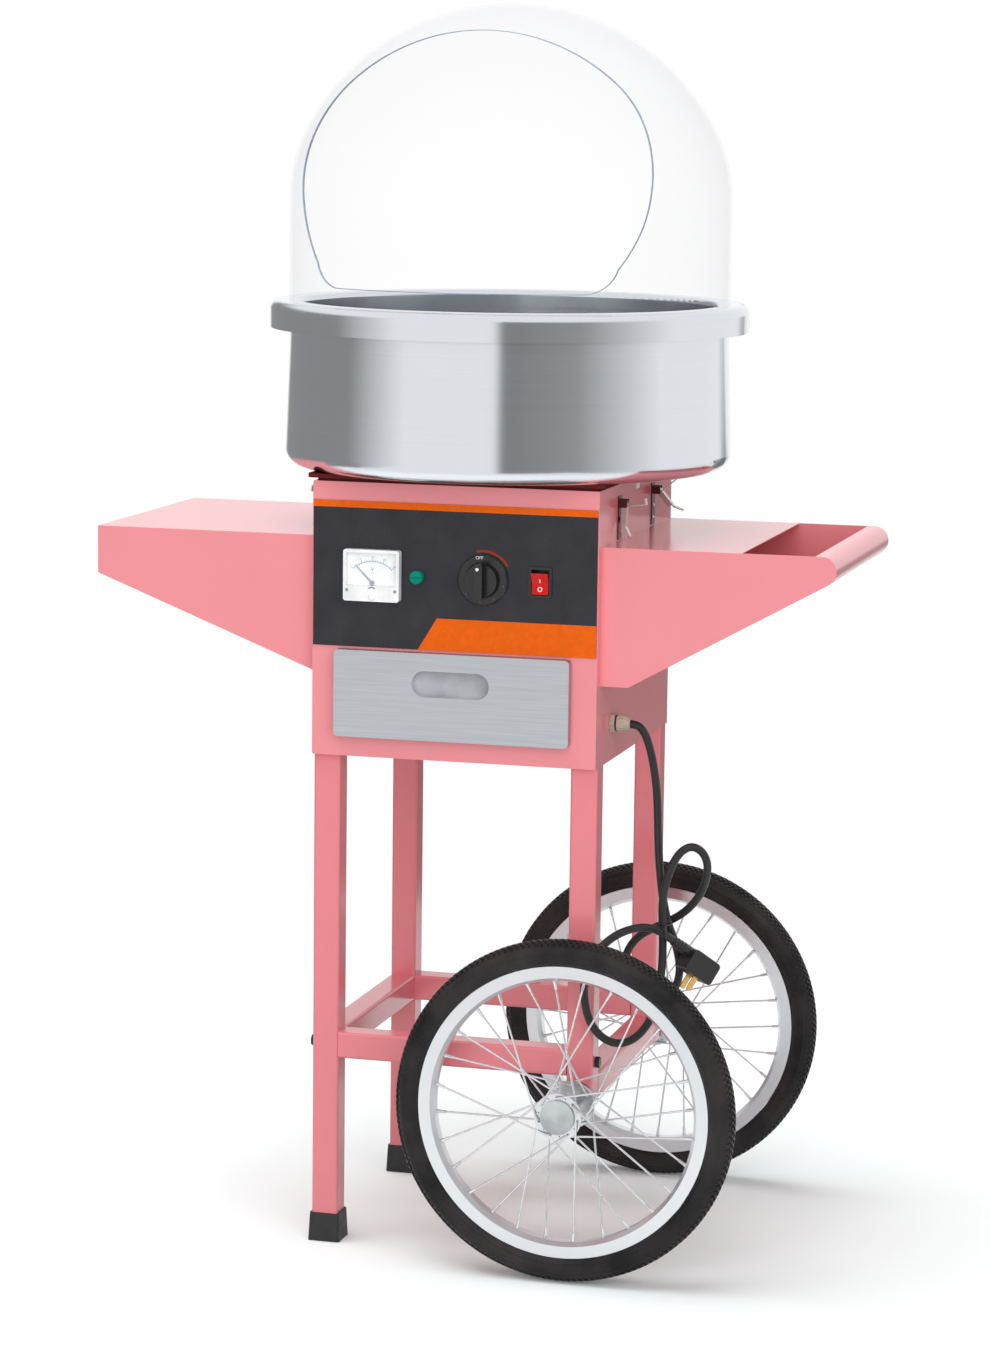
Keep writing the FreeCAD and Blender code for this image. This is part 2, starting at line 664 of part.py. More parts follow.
def spoke_wire(index):
    """A spoke about the wheel's own Z axis: an elbow through the flange and a straight wire.
    Spokes go by turns to the two flanges, and on a flange by turns forwards from its outer
    face and backwards from its inner face."""
    pitch = 360.0 / S.spoke_count.number
    side = 1 if index % 2 == 0 else -1
    lead = 1 if (index // 2) % 2 == 0 else -1
    wire = S.spoke_radius.number
    rim_angle = math.radians(index * pitch)
    hub_angle = rim_angle + lead * math.radians(2 * pitch * S.spoke_crossing.number)
    off_face = S.flange_wall.number / 2 + wire + S.clearance.number
    flange = S.flange_spacing.number / 2
    hub_height = flange + off_face + S.elbow_rise.number if lead > 0 else flange - off_face
    head_height = flange - lead * off_face
    rim_height = 2 * wire + lead * wire
    circle = S.spoke_circle.number
    reach = rim_inner_radius.number - 2 * S.clearance.number
    across = Vector(circle * math.cos(hub_angle), circle * math.sin(hub_angle), 0)
    bend = across + Vector(0, 0, side * hub_height)
    head = across + Vector(0, 0, side * head_height)
    end = Vector(reach * math.cos(rim_angle), reach * math.sin(rim_angle), side * rim_height)
    elbow = Part.makeCylinder(wire, (bend - head).Length, head, bend - head)
    return elbow.fuse(Part.makeCylinder(wire, (end - bend).Length, bend, end - bend))


def laced_spokes(name):
    """Crossed spokes, each hooked through a hub flange and pulled to the rim."""
    thing = doc.addObject("Part::Feature", name)
    thing.Shape = Part.makeCompound([spoke_wire(index)
                                     for index in range(int(S.spoke_count.number))])
    return thing


def make_wheel(end):
    sign, outward, rest = ((-1, "-Y", S.front_wheel_turn) if end == "front"
                           else (1, "+Y", S.back_wheel_turn))
    turn = TOWARDS[outward].multiply(Rotation(Vector(0, 0, 1), rest.number))
    centre = (leg_x, sign * S.wheel_reach, axle_z)
    pieces = {
        "tyre": turned(f"{end}_tyre", tyre_profile()),
        "rim": turned(f"{end}_rim", rim_profile()),
        "hub": drilled_hub(f"{end}_hub"),
        "spokes": laced_spokes(f"{end}_spokes"),
    }
    for kind, piece in pieces.items():
        node(f"{end}_{kind}", place(piece, centre, turn))


def bearing(name, y):
    """A sealed ball bearing as one ring between the axle and the hub."""
    bore = S.axle_radius + S.fit_gap
    half = S.bearing_width / 2
    body = turned(name, rectangle(bore, -half, S.bearing_radius, half))
    return place(body, (leg_x, y, axle_z), TOWARDS["+Y"])


def axle_boot(name, sign):
    """Spacer between the leg and the hub."""
    start = S.frame_depth / 2
    end = S.wheel_reach - hub_end - S.clearance
    body = turned(name, rectangle(S.axle_radius + S.fit_gap, 0, S.boot_radius, end - start))
    return place(body, (leg_x, sign * start, axle_z), TOWARDS["+Y" if sign > 0 else "-Y"])


def axle_cap(name, sign):
    """Domed cap on the end of the axle, standing just off the hub."""
    bore = S.axle_radius + S.fit_gap
    deep = S.cap_rise / 3
    rise = S.cap_rise - deep
    crown = (S.cap_radius * S.cap_radius + rise * rise) / (rise * 2)
    body = turned(name, ((bore, 0), (S.cap_radius, 0), (S.cap_radius, deep, crown),
                         (0, S.cap_rise), (0, deep), (bore, deep)))
    start = cap_start + S.clearance
    return place(body, (leg_x, sign * start, axle_z), TOWARDS["+Y" if sign > 0 else "-Y"])


def make_axle():
    end = cap_start + S.clearance + S.cap_rise / 3
    node("axle", rod("axle", S.axle_radius, (leg_x, -end, axle_z), end * 2, "+Y"))
    signs = (("front", -1), ("back", 1))
    node("axle_spacers", group("axle_spacers", *[axle_boot(f"boot_{end}", sign)
                                                 for end, sign in signs]))
    node("axle_caps", group("axle_caps", *[axle_cap(f"cap_{end}", sign) for end, sign in signs]))
    race = hub_end - S.bearing_width / 2
    rings = [bearing(f"bearing_{end}_{place_name}", sign * (S.wheel_reach + offset))
             for end, sign in signs for place_name, offset in (("inner", -race), ("outer", race))]
    node("wheel_bearings", group("wheel_bearings", *rings))


# ---- case ---------------------------------------------------------------------------------

case_x = S.case_width / 2
case_y = S.case_depth / 2
front_face = -case_y
wall_low = S.case_floor + S.sheet
wall_high = S.case_top - S.sheet
panel_face = front_face - S.panel_sheet
case_height = S.case_top - S.case_floor
drawer_low = S.case_floor + S.drawer_rise
drawer_high = drawer_low + case_height * S.drawer_share
drawer_slot_z = drawer_high - S.drawer_slot_drop
drawer_box_low = drawer_low + S.drawer_box_rise
drawer_box_high = drawer_high - S.drawer_box_drop
panel_low = drawer_high + S.panel_gap
panel_high = S.case_top - S.panel_drop
control_z = (panel_low + panel_high) / 2 - S.controls_drop
gland_z = S.case_floor + S.gland_rise
switch_body_x = S.switch_width / 2 - S.switch_frame / 2
switch_body_z = S.switch_height / 2 - S.switch_frame / 2
drawer_box_x = S.drawer_box_width / 2


def control_holes(sketch):
    """The holes behind the voltmeter, fuse, knob and switch."""
    ring(sketch, S.meter_barrel + S.clearance, S.meter_x, control_z)
    ring(sketch, S.fuse_barrel + S.clearance, S.fuse_x, control_z)
    ring(sketch, S.knob_shaft + S.clearance * 3, S.knob_x, control_z)
    outline(sketch, rectangle(S.switch_x - switch_body_x - S.clearance,
                              control_z - switch_body_z - S.clearance,
                              S.switch_x + switch_body_x + S.clearance,
                              control_z + switch_body_z + S.clearance))


def make_case():
    front = new_body("case_front")
    sketch = sketch_on(front, "XZ_Plane", case_y - S.sheet)
    outline(sketch, rectangle(-case_x, wall_low, case_x, wall_high))
    control_holes(sketch)
    gap = S.drawer_hole_gap
    outline(sketch, rectangle(-drawer_box_x - gap, drawer_box_low - gap,
                              drawer_box_x + gap, drawer_box_high + gap))
    pad(front, sketch, S.sheet)
    node("case_front", front)

    outer, inner = case_x, case_x - S.sheet
    start = front_face + S.sheet
    bend = S.tube_corner
    fold = bend - S.sheet
    wrap = prism("case_wrap_sheet", "XY_Plane", wall_low, wall_high - wall_low, (
        (outer, start), (outer, case_y - bend, bend), (outer - bend, case_y),
        (bend - outer, case_y, bend), (-outer, case_y - bend), (-outer, start), (-inner, start),
        (-inner, case_y - bend, fold, "right"), (bend - outer, case_y - S.sheet),
        (outer - bend, case_y - S.sheet, fold, "right"), (inner, case_y - bend), (inner, start)))
    outlet = rod("gland_hole", S.gland_thread + S.fit_gap, (inner - S.sheet, S.gland_y, gland_z),
                 S.sheet * 3, "+X")
    node("case_wrap", cut("case_wrap", wrap, outlet))

    lid = new_body("case_top")
    sketch = sketch_on(lid, "XY_Plane", wall_high)
    outline(sketch, rounded_rectangle(-case_x, -case_y, case_x, case_y, S.tube_corner))
    ring(sketch, S.shaft_hole, S.axis_x)
    pad(lid, sketch, S.sheet)
    node("case_top", lid)
    node("case_base", prism("case_base", "XY_Plane", S.case_floor, S.sheet,
                            rounded_rectangle(-case_x, -case_y, case_x, case_y, S.tube_corner)))


def make_panel():
    panel = new_body("control_panel")
    sketch = sketch_on(panel, "XZ_Plane", case_y)
    edge = case_x - S.panel_inset
    outline(sketch, rectangle(-edge, panel_low, edge, panel_high))
    control_holes(sketch)
    pad(panel, sketch, S.panel_sheet)
    node("control_panel", panel)


# ---- controls -----------------------------------------------------------------------------

def make_voltmeter():
    """Square meter: a bezel with a sunk dial and a round back through the panel."""
    half_x, half_z = S.meter_width / 2, S.meter_height / 2
    face = -panel_face
    bezel = prism("meter_bezel", "XZ_Plane", face, S.meter_proud,
                  rounded_rectangle(S.meter_x - half_x, control_z - half_z,
                                    S.meter_x + half_x, control_z + half_z, S.meter_corner))
    back = rod("meter_back", S.meter_barrel, (S.meter_x, panel_face, control_z),
               S.meter_behind, "+Y")
    window = half_x - S.dial_lip
    dial = block("meter_dial",
                 (S.meter_x - window, panel_face - S.meter_proud * 2,
                  control_z - half_z + S.dial_low),
                 (S.meter_x + window, panel_face - S.meter_proud + S.dial_depth,
                  control_z + half_z - S.dial_lip))
    node("voltmeter_case", cut("voltmeter_case", fuse("meter_solid", bezel, back), dial))


def meter_pivot():
    """Where the needle turns: low in the middle of the dial, just above its face."""
    return (S.meter_x, panel_face - S.meter_proud + S.dial_depth - S.clearance,
            control_z - S.meter_height / 2 + S.dial_low + S.needle_hub + S.clearance * 2)


def make_needle():
    """A tapered pointer on a round hub, at zero on the left of the dial."""
    tail = S.needle_hub
    blade = prism("needle_blade", "XZ_Plane", 0, S.needle_hub / 2,
                  ((-tail / 3, 0), (tail / 3, 0), (tail / 8, S.needle_length),
                   (-tail / 8, S.needle_length)))
    hub = rod("needle_hub_disc", S.needle_hub, (0, 0, 0), S.needle_hub, "-Y")
    needle = fuse("voltmeter_needle", blade, hub)
    place(needle, meter_pivot(), Rotation(Vector(0, 1, 0), -S.needle_rest_angle.number))
    node("voltmeter_needle", needle)


def make_fuse():
    """Holder behind the panel, and the round cap that turns to let the fuse out."""
    holder = rod("fuse_tube", S.fuse_barrel, (S.fuse_x, panel_face, control_z),
                 S.fuse_behind, "+Y")
    bore = rod("fuse_bore", S.fuse_barrel / 2, (S.fuse_x, panel_face - S.fuse_proud, control_z),
               S.fuse_behind, "+Y")
    node("fuse_holder", cut("fuse_holder", holder, bore))
    rim = S.fuse_radius / 6
    cap = turned("fuse_cap_turned", (
        (0, 0), (S.fuse_radius, 0), (S.fuse_radius, S.fuse_proud - rim, rim),
        (S.fuse_radius - rim, S.fuse_proud), (0, S.fuse_proud)))
    slot = block("fuse_slot", (-S.fuse_radius, -rim / 2, S.fuse_proud - rim),
                 (S.fuse_radius, rim / 2, S.fuse_proud + rim))
    stem = rod("fuse_stem", S.fuse_barrel / 2 - S.fit_gap, (0, 0, -S.fuse_behind / 2),
               S.fuse_behind / 2)
    cap = cut("fuse_cap", fuse("fuse_cap_solid", cap, stem), slot)
    node("fuse_cap", place(cap, (S.fuse_x, panel_face - S.clearance, control_z), TOWARDS["-Y"]))


def make_knob():
    """Skirted knob with a bar grip, on the shaft of the heat regulator."""
    skirt_edge = S.knob_skirt / 3
    base = turned("knob_turned", (
        (0, 0), (S.knob_radius, 0), (S.knob_radius, S.knob_skirt - skirt_edge),
        (S.knob_radius - skirt_edge, S.knob_skirt), (S.knob_waist, S.knob_skirt),
        (S.knob_waist - S.knob_skirt / 2, S.knob_height / 2), (0, S.knob_height / 2)))
    bar = prism("knob_grip", "XY_Plane", S.knob_skirt, S.knob_height - S.knob_skirt,
                rounded_rectangle(-S.knob_bar / 2, -S.knob_waist, S.knob_bar / 2, S.knob_waist,
                                  S.knob_bar / 3))
    bore = rod("knob_bore", S.knob_shaft + S.fit_gap, (0, 0, -S.knob_skirt),
               S.knob_height / 2 + S.knob_skirt)
    knob = cut("heat_knob", fuse("knob_solid", base, bar), bore)
    node("heat_knob", place(knob, (S.knob_x, panel_face - S.clearance, control_z),
                            TOWARDS["-Y"]))
    half = S.regulator_side / 2
    back = front_face + S.sheet
    case = block("regulator_case", (S.knob_x - half, back, control_z - half),
                 (S.knob_x + half, back + S.regulator_depth, control_z + half))
    tip = panel_face - S.knob_height / 2 + S.clearance
    shaft = rod("regulator_shaft", S.knob_shaft, (S.knob_x, tip, control_z), back - tip, "+Y")
    node("heat_regulator", fuse("heat_regulator", case, shaft))


def make_switch():
    """Snap-in rocker switch: a framed housing and the rocker on its pin."""
    lip_x, lip_z = S.switch_width / 2, S.switch_height / 2
    lip = prism("switch_bezel", "XZ_Plane", -panel_face, S.switch_lip,
                rounded_rectangle(S.switch_x - lip_x, control_z - lip_z, S.switch_x + lip_x,
                                  control_z + lip_z, S.switch_lip))
    shell = block("switch_shell",
                  (S.switch_x - switch_body_x, panel_face, control_z - switch_body_z),
                  (S.switch_x + switch_body_x, panel_face + S.switch_behind,
                   control_z + switch_body_z))
    hole_x, hole_z = lip_x - S.switch_frame, lip_z - S.switch_frame
    well = block("switch_well",
                 (S.switch_x - hole_x, panel_face - S.switch_lip * 2, control_z - hole_z),
                 (S.switch_x + hole_x, panel_face + S.switch_behind / 2, control_z + hole_z))
    pivot_y = panel_face + S.switch_behind / 6
    pin_hole = rod("switch_pin_hole", S.rocker_pin + S.fit_gap,
                   (S.switch_x - switch_body_x, pivot_y, control_z),
                   switch_body_x * 2, "+X")
    node("switch_body", cut("switch_body", fuse("switch_solid", lip, shell), well, pin_hole))

    width = (hole_x - S.rocker_gap) * 2
    reach = hole_z - S.rocker_gap * 2.5
    rise = S.switch_behind / 3
    waist = rise * 0.7
    tail = S.switch_behind / 6
    rocker = prism("rocker_solid", "YZ_Plane", -width / 2, width,
                   ((-rise, -reach), (tail, -reach * 0.6), (tail, reach * 0.6),
                    (-rise, reach), (-waist, 0)))
    pin = rod("rocker_pin_rod", S.rocker_pin, (-width / 2 - S.switch_frame / 2, 0, 0),
              width + S.switch_frame, "+X")
    rocker = fuse("switch_rocker", rocker, pin)
    place(rocker, (S.switch_x, pivot_y, control_z),
          Rotation(Vector(1, 0, 0), S.rocker_swing.number))
    node("switch_rocker", rocker)


# ---- drawer -------------------------------------------------------------------------------

drawer_face = front_face - S.drawer_proud
drawer_inside = drawer_face + S.sheet


def make_drawer():
    """Folded drawer front with a finger slot, and the open-topped box behind it."""
    half = S.drawer_width / 2
    depth = S.drawer_proud - S.clearance
    body = new_body("drawer_front")
    sketch = sketch_on(body, "XZ_Plane", case_y + S.clearance)
    outline(sketch, rounded_rectangle(-half, drawer_low, half, drawer_high, S.drawer_corner))
    pad(body, sketch, depth)
    hollow = block("drawer_front_hollow",
                   (-half + S.sheet, drawer_inside, drawer_low + S.sheet),
                   (half - S.sheet, front_face, drawer_high - S.sheet))
    slot_half = S.drawer_slot_height / 2
    slot_x = S.drawer_slot_length / 2 - slot_half
    through = S.sheet * 4
    start = drawer_face - S.sheet
    slot = fuse("drawer_slot",
                block("slot_middle", (-slot_x, start, drawer_slot_z - slot_half),
                      (slot_x, start + through, drawer_slot_z + slot_half)),
                rod("slot_left", slot_half, (-slot_x, start, drawer_slot_z), through, "+Y"),
                rod("slot_right", slot_half, (slot_x, start, drawer_slot_z), through, "+Y"))
    node("drawer_front", cut("drawer_front_folded", body, hollow, slot))

    outside = block("drawer_outside", (-drawer_box_x, drawer_inside, drawer_box_low),
                    (drawer_box_x, S.drawer_box_back, drawer_box_high))
    inside = block("drawer_inside",
                   (-drawer_box_x + S.sheet, drawer_inside - S.sheet, drawer_box_low + S.sheet),
                   (drawer_box_x - S.sheet, S.drawer_box_back - S.sheet,
                    drawer_box_high + S.sheet))
    node("drawer_box", cut("drawer_box", outside, inside))


def runner(name, sign):
    """A folded rail: flange on the case wall, shelf under the drawer box and a guide lip."""
    wall = case_x - S.sheet
    top = drawer_box_low - S.clearance
    under = top - S.sheet
    foot = under - S.runner_flange
    guide = drawer_box_x + S.clearance
    edge = drawer_box_x - S.runner_shelf
    corners = ((edge, under), (wall - S.sheet, under), (wall - S.sheet, foot), (wall, foot),
               (wall, top), (guide + S.sheet, top), (guide + S.sheet, top + S.runner_lip),
               (guide, top + S.runner_lip), (guide, top), (edge, top))
    if sign < 0:
        corners = tuple((-u, v) for u, v in reversed(corners))
    length = S.drawer_box_back + case_y - S.sheet * 2
    return place(prism(name, "XZ_Plane", 0, length, corners), (0, S.drawer_box_back, 0))


def make_runners():
    node("drawer_runners", group("drawer_runners", runner("runner_left", -1),
                                 runner("runner_right", 1)))


# ---- wings --------------------------------------------------------------------------------

wing_top = S.case_top - S.wing_drop
wing_root_low = S.case_floor + S.wing_root_rise
left_tip_low = wing_top - S.left_tip_height


def make_left_wing():
    """A closed shelf: a tapered tray of folded sheet and a lid with turned-down edges."""
    fall = (left_tip_low - wing_root_low) / (S.wing_reach - case_x)
    slant = root(fall * fall + 1)
    top = wing_top - S.sheet
    depth = S.wing_half_depth
    outer = prism("left_wing_outside", "XZ_Plane", -depth, depth * 2,
                  ((-case_x, wing_root_low), (-case_x, top), (-S.wing_reach, top),
                   (-S.wing_reach, left_tip_low)))
    tip = S.wing_reach - S.sheet
    lift = S.sheet * slant
    inner = prism("left_wing_inside", "XZ_Plane", -depth + S.sheet, (depth - S.sheet) * 2,
                  ((-case_x + S.sheet, wing_root_low + lift - fall * S.sheet),
                   (-case_x + S.sheet, top + S.sheet), (-tip, top + S.sheet),
                   (-tip, left_tip_low + lift - fall * S.sheet)))
    node("left_wing_tray", cut("left_wing_tray", outer, inner))

    lid = block("left_lid_sheet", (-S.wing_reach, -depth, top), (-case_x, depth, wing_top))
    inset = S.sheet + S.clearance
    lips = [block(f"left_lid_lip_{name}", low, high) for name, low, high in (
        ("front", (-S.wing_reach + inset, -depth + inset, top - S.seam_lip),
         (-case_x - S.clearance, -depth + inset + S.sheet, top)),
        ("back", (-S.wing_reach + inset, depth - inset - S.sheet, top - S.seam_lip),
         (-case_x - S.clearance, depth - inset, top)))]
    node("left_wing_lid", fuse("left_wing_lid", lid, *lips))


grip_x = S.wing_reach - S.grip_radius
grip_z = wing_top - S.grip_radius
keel_x = case_x + S.right_flat


def keel_line(radius):
    """The point where the line under the right wing meets the roll of the given radius,
    and the run and rise of that line."""
    run, rise = grip_x - keel_x, grip_z - wing_root_low
    span = run * run + rise * rise
    reach = root(span - S.grip_radius * S.grip_radius)
    along_x = (run * reach + rise * S.grip_radius) / span
    along_z = (rise * reach - run * S.grip_radius) / span
    return grip_x + along_z * radius, grip_z - along_x * radius, along_x, along_z


def make_right_wing():
    """Two side plates and a short top, with a wrapped under-sheet that rolls into the grip."""
    depth = S.wing_half_depth
    touch_x, touch_z, along_x, along_z = keel_line(S.grip_radius)
    plate = ((case_x, wing_root_low), (keel_x, wing_root_low), (touch_x, touch_z,
             S.grip_radius), (S.wing_reach, grip_z, S.grip_radius), (grip_x, wing_top),
             (case_x, wing_top))
    sides = [prism(f"right_wing_plate_{name}", "XZ_Plane", start, S.sheet, plate)
             for name, start in (("front", depth - S.sheet), ("back", -depth))]
    top = block("right_wing_top_sheet", (case_x, -depth + S.sheet, wing_top - S.sheet),
                (S.grip_start, depth - S.sheet, wing_top))
    node("right_wing_top", fuse("right_wing_top", *sides, top))

    inner = S.grip_radius - S.sheet
    lap_x = grip_x - S.grip_lap
    in_x, in_z, _, _ = keel_line(inner)
    floor = wing_root_low + S.sheet
    bend_x = in_x - (in_z - floor) * along_x / along_z
    wrap = ((case_x, wing_root_low), (keel_x, wing_root_low),
            (touch_x, touch_z, S.grip_radius), (S.wing_reach, grip_z, S.grip_radius),
            (grip_x, wing_top), (lap_x, wing_top), (lap_x, wing_top - S.sheet),
            (grip_x, wing_top - S.sheet, inner, "right"),
            (S.wing_reach - S.sheet, grip_z, inner, "right"),
            (in_x, in_z), (bend_x, floor), (case_x, floor))
    node("right_wing_handle", prism("right_wing_handle", "XZ_Plane", -depth + S.sheet,
                                    (depth - S.sheet) * 2, wrap))


# ---- base plate, bowl and dome ------------------------------------------------------------------

plate_low = S.case_top + S.packing_height
bowl_low = plate_low + S.plate_height + S.clearance
dome_low = bowl_low + S.bowl_height + S.clearance
bowl_rim_inner = S.bowl_rim_radius - S.bowl_rim_width
bowl_neck = S.bowl_rim_radius - S.bowl_rim_overhang
bowl_radius = bowl_neck + S.bowl_flare
dome_radius = S.bowl_rim_radius - S.dome_inset


def make_base_plate():
    """Red plate that carries the bowl, on a packing plate, with a hole for the spindle."""
    layers = []
    for name, low, height, inset in (
            ("packing", S.case_top, S.packing_height, S.packing_inset),
            ("plate", plate_low, S.plate_height, size(0))):
        edge_x = S.plate_half_width - inset
        edge_y = S.plate_half_depth - inset
        layers.append(prism(f"bowl_{name}", "XY_Plane", low, height, rounded_rectangle(
            -edge_x, -edge_y, edge_x, edge_y, S.plate_corner)))
    hole = rod("base_plate_hole", S.spindle_hole, (S.axis_x, 0, S.case_top - S.packing_height),
               (S.packing_height + S.plate_height) * 2)
    node("bowl_base_plate", cut("bowl_base_plate", fuse("base_plate_solid", *layers), hole))


def bowl_profile():
    """Spun bowl: collared hole, rounded base, upright side and a rolled hollow rim."""
    metal = S.bowl_sheet
    base = bowl_radius - S.bowl_corner
    crown = S.bowl_height
    under = crown - metal
    band = crown - S.rim_shoulder
    band_low = band - S.rim_band
    rim = S.bowl_rim_radius
    shoulder = rim - S.rim_shoulder
    roll = bowl_rim_inner + S.rim_roll
    inner_roll = S.rim_roll - metal
    edge = crown - S.rim_drop
    return (
        (S.bowl_hole_radius, 0), (base, 0, S.bowl_corner), (bowl_radius, S.bowl_corner),
        (bowl_neck, band_low), (bowl_neck, under),
        (shoulder, under, S.rim_shoulder - metal, "right"),
        (rim - metal, band), (rim - metal, band_low), (rim, band_low),
        (rim, band, S.rim_shoulder), (shoulder, crown), (roll, crown, S.rim_roll),
        (bowl_rim_inner, crown - S.rim_roll), (bowl_rim_inner, edge), (bowl_rim_inner + metal, edge),
        (bowl_rim_inner + metal, crown - S.rim_roll, inner_roll, "right"), (roll, under),
        (bowl_neck - metal, under), (bowl_neck - metal, band_low),
        (bowl_radius - metal, S.bowl_corner, S.bowl_corner - metal, "right"), (base, metal),
        (S.bowl_hole_radius + metal, metal), (S.bowl_hole_radius + metal, S.bowl_collar),
        (S.bowl_hole_radius, S.bowl_collar),
    )


def bowl_catch(name, side, y):
    """A hanging lug under the bowl for a latch claw."""
    face = side * (case_x + S.catch_out)
    back = face + side * S.bowl_sheet
    low_x, high_x = (face, back) if side > 0 else (back, face)
    half = S.catch_width / 2
    return block(name, (low_x, y - half, bowl_low - S.catch_drop), (high_x, y + half, bowl_low))


def make_bowl():
    node("bowl", place(turned("bowl", bowl_profile()), (S.axis_x, 0, bowl_low)))
    catches = [bowl_catch(f"catch_{index}", side, y) for index, (side, y) in enumerate(
        ((-1, S.latch_front_y), (-1, S.latch_back_y), (1, S.latch_front_y), (1, S.latch_back_y)))]
    node("bowl_catches", group("bowl_catches", *catches))


def three_centre(half_width, rise, shoulder, base):
    """A round-shouldered arch of two radii: the crown's radius, and the point where the
    crown meets the shoulder. The arch springs upright from (half_width, base)."""
    inset = half_width - shoulder
    top = rise - shoulder
    sink = (top * top - inset * inset) / (top * 2)
    crown = rise - sink
    share = crown / (crown - shoulder)
    return crown, inset * share, base + sink - sink * share


def dome_profile():
    crown, touch_x, touch_z = three_centre(
        dome_radius, S.dome_height - S.dome_side, S.dome_shoulder, S.dome_side)
    wall = S.dome_sheet
    scale_crown = (crown - wall) / crown
    sink_z = S.dome_height - crown
    in_x = touch_x * scale_crown
    in_z = sink_z + (touch_z - sink_z) * scale_crown
    inner = dome_radius - wall
    return ((inner, 0), (dome_radius, 0), (dome_radius, S.dome_side, S.dome_shoulder),
            (touch_x, touch_z, crown), (0, S.dome_height), (0, S.dome_height - wall,
            crown - wall, "right"), (in_x, in_z, S.dome_shoulder - wall, "right"),
            (inner, S.dome_side))


def mouth_outline():
    """The dome's opening as seen from the front."""
    crown, touch_x, touch_z = three_centre(S.mouth_half_width, S.mouth_rise, S.mouth_shoulder,
                                           S.mouth_middle)
    jaw_z = S.mouth_sill + S.mouth_corner_rise
    top = S.mouth_middle + S.mouth_rise
    return (
        (-S.mouth_corner_x, S.mouth_sill), (S.mouth_corner_x, S.mouth_sill, S.mouth_corner),
        (S.mouth_jaw_x, jaw_z, S.mouth_jaw), (S.mouth_half_width, S.mouth_middle,
         S.mouth_shoulder), (touch_x, touch_z, crown), (0, top, crown),
        (-touch_x, touch_z, S.mouth_shoulder),
        (-S.mouth_half_width, S.mouth_middle, S.mouth_jaw),
        (-S.mouth_jaw_x, jaw_z, S.mouth_corner),
    )


def make_dome():
    shell = turned("dome_shell", dome_profile())
    mouth = prism("dome_mouth", "XZ_Plane", 0, dome_radius * 1.2, mouth_outline())
    node("dome", place(cut("dome", shell, mouth), (S.axis_x, 0, dome_low)))


# ---- spinner ------------------------------------------------------------------------------

motor_high = S.case_top - case_height * S.motor_drop_share
motor_height = case_height * S.motor_share
motor_low = motor_high - motor_height
shaft_end = motor_high - motor_height * S.shaft_seat_share
slip_ring_low = S.case_top - case_height * S.slip_ring_share
head_low = bowl_low + S.head_rise


def make_motor():
    """Motor can hung from the case top on four posts, bored for the spindle."""
    can = rod("motor_can", S.motor_radius, (0, 0, motor_low), motor_height)
    cap = rod("motor_end", S.motor_radius * 0.6, (0, 0, motor_low - S.post_radius),
              S.post_radius)
    posts = []
    for index, (x, y) in enumerate(((1, 1), (-1, 1), (-1, -1), (1, -1))):
        posts.append(rod(f"motor_post_{index}", S.post_radius,
                         (x * S.motor_post_spread, y * S.motor_post_spread, motor_high),
                         wall_high - motor_high))
    bore = rod("motor_bore", S.shaft_radius + S.fit_gap, (0, 0, shaft_end),
               S.case_top - shaft_end)
    motor = cut("motor", fuse("motor_solid", can, cap, *posts), bore)
    node("motor", place(motor, (S.axis_x, 0, 0)))


def make_spindle():
    """Shaft with two slip rings that feed the heater, and the head that it carries."""
    start = shaft_end + S.clearance
    end = head_low + S.pan_height
    shaft = rod("spindle_bar", S.shaft_radius, (0, 0, start), end - start)
    rings = [rod(f"slip_ring_{index}", S.slip_ring_radius,
                 (0, 0, slip_ring_low + S.slip_ring_pitch * index), S.slip_ring_width)
             for index in range(2)]
    node("spinner_shaft", place(fuse("spinner_shaft", shaft, *rings), (S.axis_x, 0, 0)))


def make_brushes():
    """Carbon brush holder beside the slip rings, hung from the case top."""
    start = S.slip_ring_radius + S.clearance
    holder = block("brush_block", (start, -S.brush_width / 2, slip_ring_low),
                   (start + S.brush_depth, S.brush_width / 2, wall_high))
    relief = block("brush_relief",
                   (start - S.clearance, -S.brush_width, slip_ring_low + S.slip_ring_width),
                   (start + S.brush_depth / 2, S.brush_width,
                    slip_ring_low + S.slip_ring_pitch))
    node("brush_holder", place(cut("brush_holder", holder, relief), (S.axis_x, 0, 0)))


